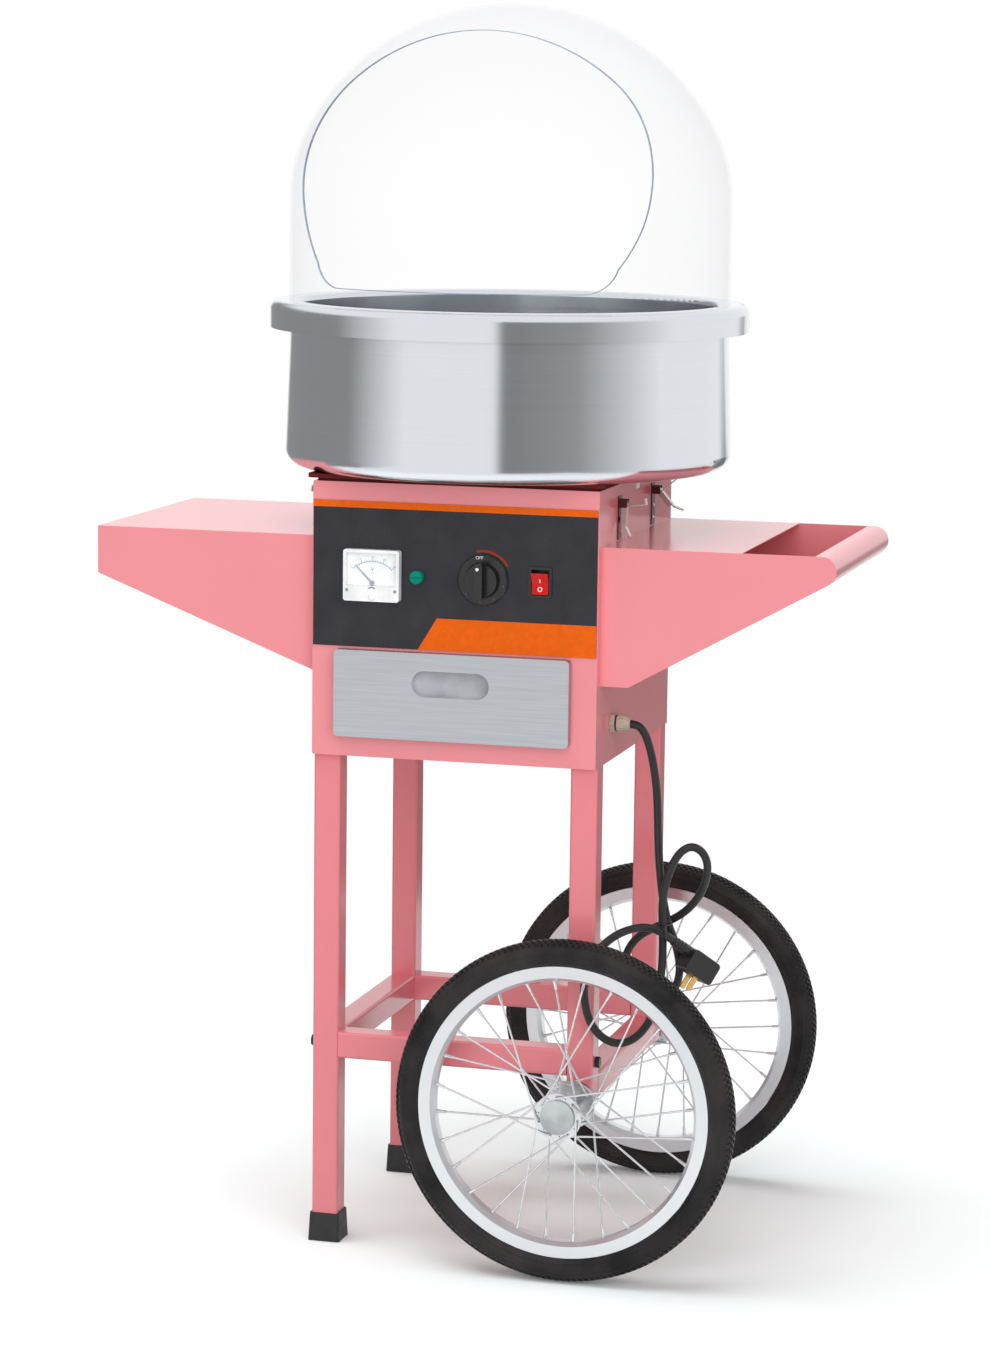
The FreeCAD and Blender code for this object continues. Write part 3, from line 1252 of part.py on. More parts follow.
def make_head():
    """Spinner head: a pan on a hub, a slotted heater ring and a lid with the sugar opening."""
    wall = S.head_wall
    bore = S.shaft_radius + S.fit_gap
    pan = turned("spinner_pan", (
        (bore, 0), (S.head_radius, 0), (S.head_radius, S.pan_height),
        (S.head_radius - wall, S.pan_height), (S.head_radius - wall, wall),
        (S.head_hub, wall), (S.head_hub, S.pan_height), (bore, S.pan_height)))
    node("spinner_pan", place(pan, (S.axis_x, 0, head_low)))

    low = head_low + wall
    band = turned("heater_band", rectangle(S.heater_inner, 0, S.heater_outer, S.heater_height))
    slots = new_body("heater_slot_set")
    sketch = sketch_on(slots, "XZ_Plane", S.heater_inner - wall)
    half = S.heater_slot_width / 2
    outline(sketch, rectangle(-half, S.heater_height / 4, half, S.heater_height * 0.8))
    slot = pad(slots, sketch, S.heater_outer - S.heater_inner + wall * 2)
    pattern = slots.newObject("PartDesign::PolarPattern", "heater_slot_ring")
    pattern.Originals = [slot]
    pattern.Axis = (sketch, ["V_Axis"])
    pattern.Angle = 360
    pattern.Occurrences = int(S.heater_slots.number)
    slots.AllowCompound = True
    slots.Tip = pattern
    node("heater_ring", place(cut("heater_ring", band, slots), (S.axis_x, 0, low)))

    lid_low = low + S.heater_height
    lid = turned("spinner_lid", (
        (S.feed_radius, S.lid_rise - wall), (S.head_radius - wall, 0), (S.head_radius, 0),
        (S.head_radius, wall), (S.feed_radius + wall, S.lid_rise + wall),
        (S.feed_radius, S.lid_rise + wall)))
    node("spinner_lid", place(lid, (S.axis_x, 0, lid_low)))


# ---- latches ------------------------------------------------------------------------------

latch_high = S.case_top - S.latch_drop
latch_low = latch_high - S.latch_height
latch_pivot_z = S.case_top - S.latch_pivot_drop


def latch_bracket(name, side, y):
    """A strip on the case wall with two ears that hold the pivot pin."""
    half = S.latch_width / 2
    face = case_x
    ear = S.latch_pivot_reach + S.latch_pin * 2
    ear_y = S.lever_width / 2 + S.clearance

    def plate(part, x0, x1, y0, y1, z0, z1):
        low_x, high_x = (x0, x1) if side > 0 else (-x1, -x0)
        return block(f"{name}_{part}", (low_x, y + y0, z0), (high_x, y + y1, z1))

    strip = plate("strip", face, face + S.lever_metal, -half, half, latch_low, latch_high)
    ear_low, ear_high = latch_pivot_z - S.latch_pin * 3, latch_pivot_z + S.latch_pin * 3
    ears = [plate("ear_front", face, face + ear, -ear_y - S.lever_metal, -ear_y, ear_low,
                  ear_high),
            plate("ear_back", face, face + ear, ear_y, ear_y + S.lever_metal, ear_low, ear_high)]
    pin = rod(f"{name}_pin", S.latch_pin, (side * (face + S.latch_pivot_reach), y - ear_y,
                                           latch_pivot_z), ear_y * 2, "+Y")
    return fuse(name, strip, *ears, pin)


def latch_lever(name, side, y, angle, claw_angle):
    """A channel lever on the pivot pin with a flared thumb tab, and the claw that it draws."""
    half = S.lever_width / 2
    metal = S.lever_metal
    eye = S.latch_pin * 2
    bend = S.tab_length - S.lever_length
    back = prism(f"{name}_back", "YZ_Plane", eye - metal, metal,
                 rectangle(-half, bend - metal, half, 0))
    tab = place(prism(f"{name}_tab", "YZ_Plane", 0, metal, rounded_rectangle(
        -half, -S.tab_length, half, metal, half / 2)), (eye - metal, 0, bend),
                Rotation(Vector(0, 1, 0), -S.tab_flare.number))
    cheeks = [block(f"{name}_cheek_{word}", (-eye, low, -S.lever_length * 0.6),
                    (eye, low + metal, eye)) for word, low in
              (("front", -half), ("back", half - metal))]
    bar = block(f"{name}_claw_bar", (0, -half + metal, -eye - metal),
                (S.claw_length, half - metal, -eye))
    tooth = block(f"{name}_tooth", (S.claw_length - metal, -half + metal, -eye - metal),
                  (S.claw_length, half - metal, eye))
    claw = place(fuse(f"{name}_claw", bar, tooth), (0, 0, 0),
                 Rotation(Vector(0, 1, 0), -claw_angle.number))
    bore = rod(f"{name}_bore", S.latch_pin + S.fit_gap, (0, -S.lever_width, 0),
               S.lever_width * 2, "+Y")
    lever = cut(name, fuse(f"{name}_solid", back, tab, *cheeks, claw), bore)
    turn = Rotation(Vector(0, 1, 0), -angle.number)
    if side < 0:
        turn = Rotation(Vector(0, 0, 1), 180).multiply(turn)
    return place(lever, (side * (case_x + S.latch_pivot_reach), y, latch_pivot_z), turn)


def make_latches():
    places = (("front", S.latch_front_y, S.front_lever_angle, S.front_claw_angle),
              ("back", S.latch_back_y, S.back_lever_angle, S.back_claw_angle))
    brackets = []
    for word, side in (("left", -1), ("right", 1)):
        for end, y, angle, claw_angle in places:
            brackets.append(latch_bracket(f"bracket_{end}_{word}", side, y))
            name = f"latch_lever_{end}_{word}"
            node(name, latch_lever(name, side, y, angle, claw_angle))
    node("latch_brackets", group("latch_brackets", *brackets))


# ---- cable gland, lead and plug -----------------------------------------------------------

def make_gland():
    """Threaded cable gland in the right wall: lock nut, hexagon, and a domed nut."""
    bore = S.cord_radius
    nut = S.gland_length / 4
    inside = case_x - S.sheet
    thread = rod("gland_thread_bar", S.gland_thread, (inside - nut * 2, S.gland_y, gland_z),
                 nut * 2 + S.sheet, "+X")
    lock = hexagon("gland_lock_nut", S.gland_hex, (inside, S.gland_y, gland_z), nut, "-X")
    flange = hexagon("gland_flange", S.gland_hex, (case_x, S.gland_y, gland_z), nut, "+X")
    neck = rod("gland_neck", S.gland_thread, (case_x, S.gland_y, gland_z), nut * 3, "+X")
    crown = turned("gland_crown", (
        (0, 0), (S.gland_hex * 0.87, 0), (S.gland_hex * 0.87, nut), (S.gland_thread, nut * 2.4),
        (0, nut * 2.4)))
    place(crown, (case_x + nut * 1.6, S.gland_y, gland_z), TOWARDS["+X"])
    hole = rod("gland_bore", bore + S.fit_gap, (inside - nut * 3, S.gland_y, gland_z),
               S.gland_length * 3, "+X")
    node("cable_gland", cut("cable_gland", fuse("gland_solid", thread, lock, flange, neck, crown),
                            hole))


# The lead leaves the gland to the right, drops beside the stand and hangs in a tied hank of
# three loops: a small one, an upright one above the tie and a wide one in front of the leg.
LEAD_ROUTE = (
    (181, -105, 602), (192, -105, 602), (200.5, -105, 594), (207, -105, 577),
    (212, -105, 555), (216, -106, 530), (218, -108, 503), (220, -111, 469),
    (223, -113, 435), (228, -114, 404), (233, -113, 382), (239, -108, 364),
    (243, -103, 346), (245, -100, 327), (241, -99, 308), (229, -98, 293),
    (212, -98, 286), (195, -98, 291), (183, -97, 306), (179, -97, 326),
    (184, -97, 346), (195, -98, 361), (210, -100, 371), (225, -102, 379),
    (240, -102, 387), (254, -104, 398), (266, -106, 413), (274, -109, 431),
    (277, -112, 450), (272, -115, 465), (260, -117, 472), (248, -119, 466),
    (239, -121, 452), (233, -123, 434), (229, -125, 412), (229, -125, 388),
    (231, -127, 362), (232, -134, 336), (231, -144, 310), (227, -155, 285),
    (215, -166, 265), (197, -176, 256), (178, -184, 263), (164, -188, 281),
    (158, -189, 304), (157, -189, 328), (163, -187, 350), (174, -181, 366),
    (187, -169, 377), (200, -156, 382), (213, -144, 383), (226, -139, 380),
    (236, -137, 374), (243, -130, 367),
)
ARC_SHARE = 0.45


def lead_path(points):
    """Straight runs joined by tangent arcs, each as large as its two runs allow."""
    edges = []
    radii = []
    last = points[0]
    for before, corner, after in zip(points, points[1:], points[2:]):
        arrive = (corner - before).normalize()
        leave = (after - corner).normalize()
        turn = arrive.getAngle(leave)
        trim = ARC_SHARE * min((corner - before).Length, (after - corner).Length)
        radius = trim / math.tan(turn / 2)
        start = corner - arrive * trim
        end = corner + leave * trim
        towards = (leave - arrive).normalize()
        centre = corner + towards * math.hypot(radius, trim)
        edges.append(Part.LineSegment(last, start).toShape())
        edges.append(Part.Arc(start, centre - towards * radius, end).toShape())
        radii.append(radius)
        last = end
    edges.append(Part.LineSegment(last, points[-1]).toShape())
    return Part.Wire(edges), radii


def make_lead():
    """The mains lead as one round tube."""
    points = [Vector(*point) for point in LEAD_ROUTE]
    path, radii = lead_path(points)
    radius = S.cord_radius.number
    ring_edge = Part.makeCircle(radius, points[0], points[1] - points[0])
    tube = path.makePipeShell([Part.Wire(ring_edge)], True, True)
    ideal = math.pi * radius ** 2 * path.Length
    if abs(tube.Volume / ideal - 1) > 0.01:
        raise RuntimeError(f"lead volume {tube.Volume:.0f}, not {ideal:.0f}")
    print("lead length", round(path.Length), "radii", [round(value) for value in radii])
    thing = doc.addObject("Part::Feature", "power_cord")
    thing.Shape = tube
    node("power_cord", thing)


def make_plug():
    """Right-angled plug: a round neck, a block below it and two flat blades.
    Its own X axis is the lead's last run, and its blades point down its own Z axis."""
    neck = turned("plug_neck_turned", ((0, 0), (S.plug_neck_end, 0),
                                       (S.plug_neck_radius, S.plug_neck * 0.7),
                                       (S.plug_neck_radius, S.plug_neck + S.plug_corner),
                                       (0, S.plug_neck + S.plug_corner)))
    place(neck, (0, 0, 0), TOWARDS["+X"])
    half = S.plug_width / 2
    block_shape = prism("plug_block_solid", "XZ_Plane", -half, S.plug_width, rounded_rectangle(
        S.plug_neck, -S.plug_face, S.plug_neck + S.plug_block, S.plug_neck_radius,
        S.plug_corner))
    blades = []
    for index, side in enumerate((-1, 1)):
        middle = side * S.blade_spacing / 2
        low = -S.plug_face - S.blade_length
        blades.append(block(
            f"plug_blade_{index}",
            (S.blade_place - S.blade_width / 2, middle - S.blade_thickness / 2, low),
            (S.blade_place + S.blade_width / 2, middle + S.blade_thickness / 2,
             -S.plug_face + S.plug_corner)))
    last, end = Vector(*LEAD_ROUTE[-2]), Vector(*LEAD_ROUTE[-1])
    way = end - last
    heading = math.degrees(math.atan2(way.y, way.x))
    dip = math.degrees(math.atan2(-way.z, math.hypot(way.x, way.y)))
    turn = Rotation(Vector(0, 0, 1), heading).multiply(Rotation(Vector(0, 1, 0), dip))
    node("power_plug", place(fuse("power_plug", neck, block_shape, *blades), end, turn))


def write_nodes():
    """Checks every piece and writes each one to a file of its own name."""
    doc.recompute()
    failed = [item.Name for item in doc.Objects if {"Invalid", "Error"} & set(item.State)]
    if failed:
        raise RuntimeError(f"these objects failed: {failed}")
    os.makedirs("parts", exist_ok=True)
    for label, thing in nodes.items():
        shape = thing.Shape
        if shape.isNull() or not shape.isValid() or not shape.Solids:
            raise RuntimeError(f"{label} has no valid solid")
        shape.exportStep(f"parts/{label}.step")
        print(f"{label}: {len(shape.Solids)} solid(s), {shape.Volume / 1000:.1f} cm3")


make_stand()
make_axle()
for wheel_end in ("front", "back"):
    make_wheel(wheel_end)
make_case()
make_panel()
make_voltmeter()
make_needle()
make_fuse()
make_knob()
make_switch()
make_drawer()
make_runners()
make_left_wing()
make_right_wing()
make_base_plate()
make_bowl()
make_dome()
make_motor()
make_spindle()
make_brushes()
make_head()
make_latches()
make_gland()
make_lead()
make_plug()
write_nodes()
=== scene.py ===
"""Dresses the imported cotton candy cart: finishes, mains lead, tyre tread, dial and studio.

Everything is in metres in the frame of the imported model: +Z up, +X towards the push handle,
-Y the front with the controls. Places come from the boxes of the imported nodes.
"""
import math

import bmesh
import bpy
from mathutils import Matrix, Vector


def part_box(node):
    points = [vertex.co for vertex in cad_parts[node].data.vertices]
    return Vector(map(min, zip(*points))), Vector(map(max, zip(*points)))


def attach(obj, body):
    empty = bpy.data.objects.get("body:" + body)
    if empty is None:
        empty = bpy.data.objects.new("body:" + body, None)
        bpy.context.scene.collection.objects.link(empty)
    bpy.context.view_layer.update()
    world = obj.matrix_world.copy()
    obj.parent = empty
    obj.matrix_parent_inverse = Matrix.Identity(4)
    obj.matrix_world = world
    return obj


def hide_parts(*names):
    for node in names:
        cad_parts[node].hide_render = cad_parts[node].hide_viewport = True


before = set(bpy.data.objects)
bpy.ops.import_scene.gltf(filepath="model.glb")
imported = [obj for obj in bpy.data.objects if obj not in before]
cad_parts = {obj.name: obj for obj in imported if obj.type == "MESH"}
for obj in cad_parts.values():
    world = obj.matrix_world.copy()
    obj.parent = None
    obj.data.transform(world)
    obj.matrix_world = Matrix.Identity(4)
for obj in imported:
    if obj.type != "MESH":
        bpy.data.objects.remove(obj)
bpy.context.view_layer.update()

bl_info = {
    "name": "Cotton candy cart",
    "version": (1, 0, 0),
    "blender": (4, 5, 0),
    "location": "View3D > Sidebar > Cart",
    "description": "Finishes and fine pieces of a cotton candy cart, around its packed frame",
    "category": "Object",
}

MM = 0.001
PRINT_SINK = 0.05 * MM
ENDS = (("front", -1), ("back", 1))


def corners(node):
    """Low corner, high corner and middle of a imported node's box."""
    low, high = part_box(node)
    return low, high, (low + high) / 2


def in_mm(points):
    return [tuple(value * MM for value in point) for point in points]


# ---- sizes and colours that a user would change -----------------------------------------------

def length(name, value, about):
    return bpy.props.FloatProperty(name=name, description=about, default=value, min=0.0,
                                   subtype="DISTANCE", unit="LENGTH", precision=5)


def colour(name, value, about):
    return bpy.props.FloatVectorProperty(name=name, description=about, default=value, size=3,
                                         min=0.0, max=1.0, subtype="COLOR")


def count(name, value, about):
    return bpy.props.IntProperty(name=name, description=about, default=value, min=1)


class CartColours(bpy.types.PropertyGroup):
    """Colours of the finishes."""
    case: colour("Case", (0.82, 0.265, 0.29), "Powder coat of the case and the wings")
    stand: colour("Stand", (0.80, 0.225, 0.25), "Powder coat of the tube stand")
    # Base plate: red paint darkened with painted shade, for the shade between the bowl and the case top;
    # the latch brackets take a darker copy of it.
    red: colour("Base plate", (0.13, 0.022, 0.020), "Paint of the base plate and latch brackets")
    panel: colour("Panel", (0.022, 0.022, 0.027), "Ground of the control panel")
    orange: colour("Orange", (0.80, 0.125, 0.006), "Bands printed on the control panel")
    scarlet: colour("Rocker", (0.60, 0.006, 0.004), "Rocker of the switch")
    green: colour("Fuse cap", (0.0, 0.25, 0.165), "Cap of the fuse")
    black: colour("Black plastic", (0.012, 0.012, 0.013), "Knob, switch frame and bolt caps")
    rubber: colour("Rubber", (0.016, 0.016, 0.017), "Tyres and feet")
    steel: colour("Steel", (0.65, 0.67, 0.705), "Bowl, drawer and spindle")
    alloy: colour("Alloy", (0.74, 0.75, 0.77), "Rims, hubs and spinner head")
    gland: colour("Gland", (0.42, 0.36, 0.29), "Nylon of the cable gland")
    brass: colour("Brass", (0.75, 0.48, 0.16), "Plug blades")


class CartSizes(bpy.types.PropertyGroup):
    """Sizes of the pieces that are made here."""
    cord_radius: length("Lead radius", 4.5 * MM, "Radius of the mains lead")
    tread_rows: count("Tread rows", 6, "Rows of tread blocks across a tyre")
    tread_blocks: count("Tread blocks", 168, "Tread blocks in one row")
    tread_height: length("Tread height", 2.3 * MM, "Height of a tread block")
    print_height: length("Print height", 0.12 * MM, "How far printed marks stand proud")
    spokes: count("Spokes", 28, "Spokes in a wheel")


def colours():
    return bpy.context.scene.cart_colours


def sizes():
    return bpy.context.scene.cart_sizes


# ---- finishes ---------------------------------------------------------------------------------

class Finish:
    """A node material around one Principled shader."""

    def __init__(self, name, **values):
        self.material = bpy.data.materials.new(name)
        self.material.use_nodes = True
        self.tree = self.material.node_tree
        self.shader = self.tree.nodes["Principled BSDF"]
        self.place = self.add("ShaderNodeTexCoord").outputs["Object"]
        for socket, value in values.items():
            self.shader.inputs[socket.replace("_", " ")].default_value = value

    def add(self, kind, **settings):
        node = self.tree.nodes.new(kind)
        for key, value in settings.items():
            setattr(node, key, value)
        return node

    def join(self, output, target):
        self.tree.links.new(output, target)

    def stretched(self, stretch):
        """The place on the piece, scaled by axis, for grain that runs one way."""
        mapping = self.add("ShaderNodeMapping")
        mapping.inputs["Scale"].default_value = stretch
        self.join(self.place, mapping.inputs["Vector"])
        return mapping.outputs["Vector"]

    def noise(self, scale, detail, stretch=None):
        noise = self.add("ShaderNodeTexNoise")
        noise.inputs["Scale"].default_value = scale
        noise.inputs["Detail"].default_value = detail
        self.join(self.stretched(stretch) if stretch else self.place, noise.inputs["Vector"])
        return noise.outputs["Fac"]

    def spread(self, value, low, high):
        """Maps a noise of about 0.3 to 0.7 onto low to high."""
        ramp = self.add("ShaderNodeMapRange")
        ramp.inputs["From Min"].default_value = 0.3
        ramp.inputs["From Max"].default_value = 0.7
        ramp.inputs["To Min"].default_value = low
        ramp.inputs["To Max"].default_value = high
        self.join(value, ramp.inputs["Value"])
        return ramp.outputs["Result"]

    def tint(self, value, first, second):
        """Base colour that wanders between two colours."""
        mix = self.add("ShaderNodeMix", data_type="RGBA")
        mix.inputs["A"].default_value = (*first, 1.0)
        mix.inputs["B"].default_value = (*second, 1.0)
        self.join(value, mix.inputs["Factor"])
        self.join(mix.outputs["Result"], self.shader.inputs["Base Color"])

    def roughen(self, value, low, high):
        self.join(self.spread(value, low, high), self.shader.inputs["Roughness"])

    def bump(self, value, height, strength):
        bump = self.add("ShaderNodeBump")
        bump.inputs["Distance"].default_value = height
        bump.inputs["Strength"].default_value = strength
        self.join(value, bump.inputs["Height"])
        self.join(bump.outputs["Normal"], self.shader.inputs["Normal"])


def shade(base, factor):
    return tuple(min(1.0, part * factor) for part in base)


def powder_coat(name, base, roughness=0.2, shine=0.45, coat=0.25):
    """Powder coat: faint clouds of tone on a surface that is only just uneven."""
    finish = Finish(name, Roughness=roughness, Coat_Weight=coat, Coat_Roughness=0.1,
                    Specular_IOR_Level=shine)
    finish.tint(finish.spread(finish.noise(9.0, 3.0), 0.0, 1.0), shade(base, 0.98), shade(base, 1.02))
    finish.bump(finish.noise(260.0, 1.0), 0.01 * MM, 0.3)
    return finish.material


def moulded(name, base, roughness=0.35, grain=900.0, depth=0.03, shine=0.5):
    """Moulded plastic or rubber: slight tone changes, a fine matt grain."""
    finish = Finish(name, Specular_IOR_Level=shine)
    finish.tint(finish.spread(finish.noise(35.0, 4.0), 0.0, 1.0), shade(base, 0.82), shade(base, 1.2))
    finish.roughen(finish.noise(120.0, 3.0), roughness - 0.07, roughness + 0.1)
    finish.bump(finish.noise(grain, 2.0), depth * MM, 0.5)
    return finish.material


def tyre_rubber(name, base):
    """Rubber with dust in its pores, greyer where it is scuffed."""
    finish = Finish(name, Specular_IOR_Level=0.16)
    dust = finish.spread(finish.noise(22.0, 6.0), 0.0, 1.0)
    finish.tint(dust, shade(base, 0.5), (base[0] * 2.2, base[1] * 1.9, base[2] * 1.8))
    finish.roughen(finish.noise(70.0, 4.0), 0.24, 0.4)
    finish.bump(finish.noise(500.0, 2.0), 0.03 * MM, 0.4)
    return finish.material


def brushed(name, base, grain, roughness=0.24, anisotropy=0.0, depth=0.015, lines_show=1.0):
    """Metal with a grain: grain is the stretch that makes its lines."""
    finish = Finish(name, Metallic=1.0, Anisotropic=anisotropy)
    lines = finish.noise(1.0, 4.0, grain)
    finish.tint(finish.spread(lines, 0.0, 1.0), shade(base, 1.0 - 0.12 * lines_show),
                shade(base, 1.0 + 0.06 * lines_show))
    finish.roughen(lines, roughness - 0.05 * lines_show, roughness + 0.09 * lines_show)
    finish.bump(lines, depth * MM, 0.4)
    return finish


def turned_metal(name, base, axis, roughness=0.24, anisotropy=0.6, grain=(900.0, 900.0, 900.0),
                 depth=0.015, lines_show=1.0):
    """Metal spun or turned about an axis, with highlights drawn out across its grooves."""
    finish = brushed(name, base, grain, roughness, anisotropy, depth, lines_show)
    finish.shader.inputs["Anisotropic Rotation"].default_value = 0.25
    tangent = finish.add("ShaderNodeTangent", direction_type="RADIAL", axis=axis)
    finish.join(tangent.outputs["Tangent"], finish.shader.inputs["Tangent"])
    return finish.material


def clear_plastic(name, tone, roughness, faces, edges):
    """Clear sheet: see-through where it is faced, with a little tone where it turns away."""
    finish = Finish(name, IOR=1.49, Roughness=roughness)
    finish.tint(finish.spread(finish.noise(5.0, 2.0), 0.0, 1.0), shade(tone, 0.96), shade(tone, 1.02))
    clear = finish.add("ShaderNodeBsdfTransparent")
    facing = finish.add("ShaderNodeLayerWeight")
    facing.inputs["Blend"].default_value = 0.12
    edge = finish.add("ShaderNodeMapRange")
    edge.inputs["To Min"].default_value = faces
    edge.inputs["To Max"].default_value = edges
    finish.join(facing.outputs["Facing"], edge.inputs["Value"])
    mix = finish.add("ShaderNodeMixShader")
    finish.join(edge.outputs["Result"], mix.inputs["Fac"])
    finish.join(clear.outputs["BSDF"], mix.inputs[1])
    finish.join(finish.shader.outputs["BSDF"], mix.inputs[2])
    output = finish.tree.nodes["Material Output"]
    finish.join(mix.outputs["Shader"], output.inputs["Surface"])
    return finish.material


def ink(name, base):
    """Printed or painted mark."""
    finish = Finish(name, Specular_IOR_Level=0.12)
    finish.tint(finish.spread(finish.noise(180.0, 3.0), 0.0, 1.0), shade(base, 0.93), shade(base, 1.05))
    finish.roughen(finish.noise(300.0, 2.0), 0.32, 0.45)
    return finish.material


def finish_node(material, *nodes):
    """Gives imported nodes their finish."""
    for name in nodes:
        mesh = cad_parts[name].data
        mesh.materials.clear()
        mesh.materials.append(material)


# ---- ways of making a piece -------------------------------------------------------------------

def add_piece(name, data, material, body, place=None):
    """Puts a mesh, curve or text into the scene, on a body and in a material slot."""
    piece = bpy.data.objects.new(name, data)
    bpy.context.scene.collection.objects.link(piece)
    if place is not None:
        piece.matrix_world = place
    data.materials.append(material)
    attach(piece, body)
    return piece


def mesh_piece(name, shape, material, body, smooth=40.0):
    """Turns a bmesh into a piece, smooth except over edges sharper than the angle."""
    bmesh.ops.recalc_face_normals(shape, faces=shape.faces)
    for face in shape.faces:
        face.smooth = True
    limit = math.radians(smooth)
    for edge in shape.edges:
        if len(edge.link_faces) == 2 and edge.calc_face_angle(0.0) > limit:
            edge.smooth = False
    mesh = bpy.data.meshes.new(name)
    shape.to_mesh(mesh)
    shape.free()
    return add_piece(name, mesh, material, body)


def skin(shape, rings, closed=False):
    """Joins rings of points with faces, each to the next. A ring of one point is a tip."""
    steps = max(len(ring) for ring in rings)
    following = rings[1:] + (rings[:1] if closed else [])
    for first, second in zip(rings, following):
        for step in range(steps):
            after = (step + 1) % steps
            loop = dict.fromkeys((first[step % len(first)], first[after % len(first)],
                                  second[after % len(second)], second[step % len(second)]))
            if len(loop) > 2:
                shape.faces.new(tuple(loop))


def lathe(shape, profile, steps, centre, axis, closed=True):
    """Turns a profile of (radius, along) about an axis through centre."""
    rings = []
    for radius, along in profile:
        angles = [2 * math.pi * step / steps for step in range(steps if radius else 1)]
        rings.append([shape.verts.new(turned_point(centre, axis, radius, angle, along))
                      for angle in angles])
    skin(shape, rings, closed)


def turned_point(centre, axis, radius, angle, along):
    across, upright = radius * math.cos(angle), radius * math.sin(angle)
    if axis == "Y":
        return Vector(centre) + Vector((across, along, upright))
    return Vector(centre) + Vector((along, across, upright))


def slab(shape, outline, low, high, plane="XZ"):
    """A flat outline in the XZ or YZ plane, given thickness from low to high."""
    layers = []
    for depth in (low, high):
        spots = [(u, depth, v) if plane == "XZ" else (depth, u, v) for u, v in outline]
        layers.append([shape.verts.new(spot) for spot in spots])
        shape.faces.new(layers[-1])
    skin(shape, layers)


def rectangle(low_u, low_v, high_u, high_v):
    return (low_u, low_v), (high_u, low_v), (high_u, high_v), (low_u, high_v)


def rounded(low_u, low_v, high_u, high_v, radius, steps=6):
    """Outline of a rectangle with round corners."""
    points = []
    middles = rectangle(low_u + radius, low_v + radius, high_u - radius, high_v - radius)
    for quarter, corner in enumerate((2, 3, 0, 1)):
        u, v = middles[corner]
        for step in range(steps + 1):
            angle = math.pi / 2 * (quarter + step / steps)
            points.append((u + radius * math.cos(angle), v + radius * math.sin(angle)))
    return points


def soften(piece, width, segments=2, angle=35.0):
    """Rounds the sharp edges of a piece."""
    bevel = piece.modifiers.new("soft_edges", "BEVEL")
    bevel.width = width
    bevel.segments = segments
    bevel.limit_method = "ANGLE"
    bevel.angle_limit = math.radians(angle)


def wire(name, points, radius, material, body, closed=False):
    """A round wire along a smooth line."""
    curve = bpy.data.curves.new(name, "CURVE")
    curve.dimensions = "3D"
    curve.bevel_depth = radius
    curve.bevel_resolution = 5
    curve.resolution_u = 8
    curve.use_fill_caps = True
    spline = curve.splines.new("NURBS")
    spline.points.add(len(points) - 1)
    for point, place in zip(spline.points, points):
        point.co = (*place, 1.0)
    spline.order_u = 3
    spline.use_endpoint_u = not closed
    spline.use_cyclic_u = closed
    return add_piece(name, curve, material, body)


def lettering(name, text, height, place, material, body):
    """Plain printed letters or numbers that face the front, a little proud of what they stand on."""
    letters = bpy.data.curves.new(name, "FONT")
    letters.body = text
    letters.size = height
    letters.align_x = "CENTER"
    letters.align_y = "CENTER"
    letters.extrude = sizes().print_height / 2
    facing_front = Matrix.Rotation(math.pi / 2, 4, "X")
    add_piece(name, letters, material, body, Matrix.Translation(place) @ facing_front)


def printed(name, outline, face, material, body="cart"):
    """A flat mark printed on a face that looks to the front."""
    shape = bmesh.new()
    slab(shape, outline, face - sizes().print_height, face + PRINT_SINK)
    mesh_piece(name, shape, material, body)


def arc_band(inner, outer, start, end, centre, steps=24):
    """Outline of a ring sector, angles in degrees."""
    angles = [math.radians(start + (end - start) * step / steps) for step in range(steps + 1)]
    return [(centre[0] + radius * math.cos(angle), centre[1] + radius * math.sin(angle))
            for radius, order in ((outer, angles), (inner, reversed(angles))) for angle in order]


# ---- camera -----------------------------------------------------------------------------------

CAMERA_PLACE = (1.1893, -4.3225, 1.3015)
CAMERA_YAW, CAMERA_PITCH, CAMERA_ROLL = (math.radians(angle) for angle in (15.387, 8.491, 0.708))
CAMERA_LENS = 105.994


def make_camera():
    """Camera at the height and side from which the cart is looked at."""
    cos_yaw, sin_yaw = math.cos(CAMERA_YAW), math.sin(CAMERA_YAW)
    ahead = Vector((-sin_yaw * math.cos(CAMERA_PITCH), cos_yaw * math.cos(CAMERA_PITCH),
                    -math.sin(CAMERA_PITCH)))
    right = Vector((cos_yaw, sin_yaw, 0))
    above = right.cross(ahead)
    cos_roll, sin_roll = math.cos(CAMERA_ROLL), math.sin(CAMERA_ROLL)
    across = right * cos_roll + above * sin_roll
    upright = above * cos_roll - right * sin_roll
    lens = bpy.data.cameras.new("view")
    lens.lens = CAMERA_LENS
    lens.clip_end = 60.0
    camera = bpy.data.objects.new("view", lens)
    bpy.context.scene.collection.objects.link(camera)
    turn = Matrix((across, upright, -ahead)).transposed()
    camera.matrix_world = Matrix.Translation(CAMERA_PLACE) @ turn.to_4x4()
    bpy.context.scene.camera = camera


# ---- mains lead, its tie and its plug ---------------------------------------------------------

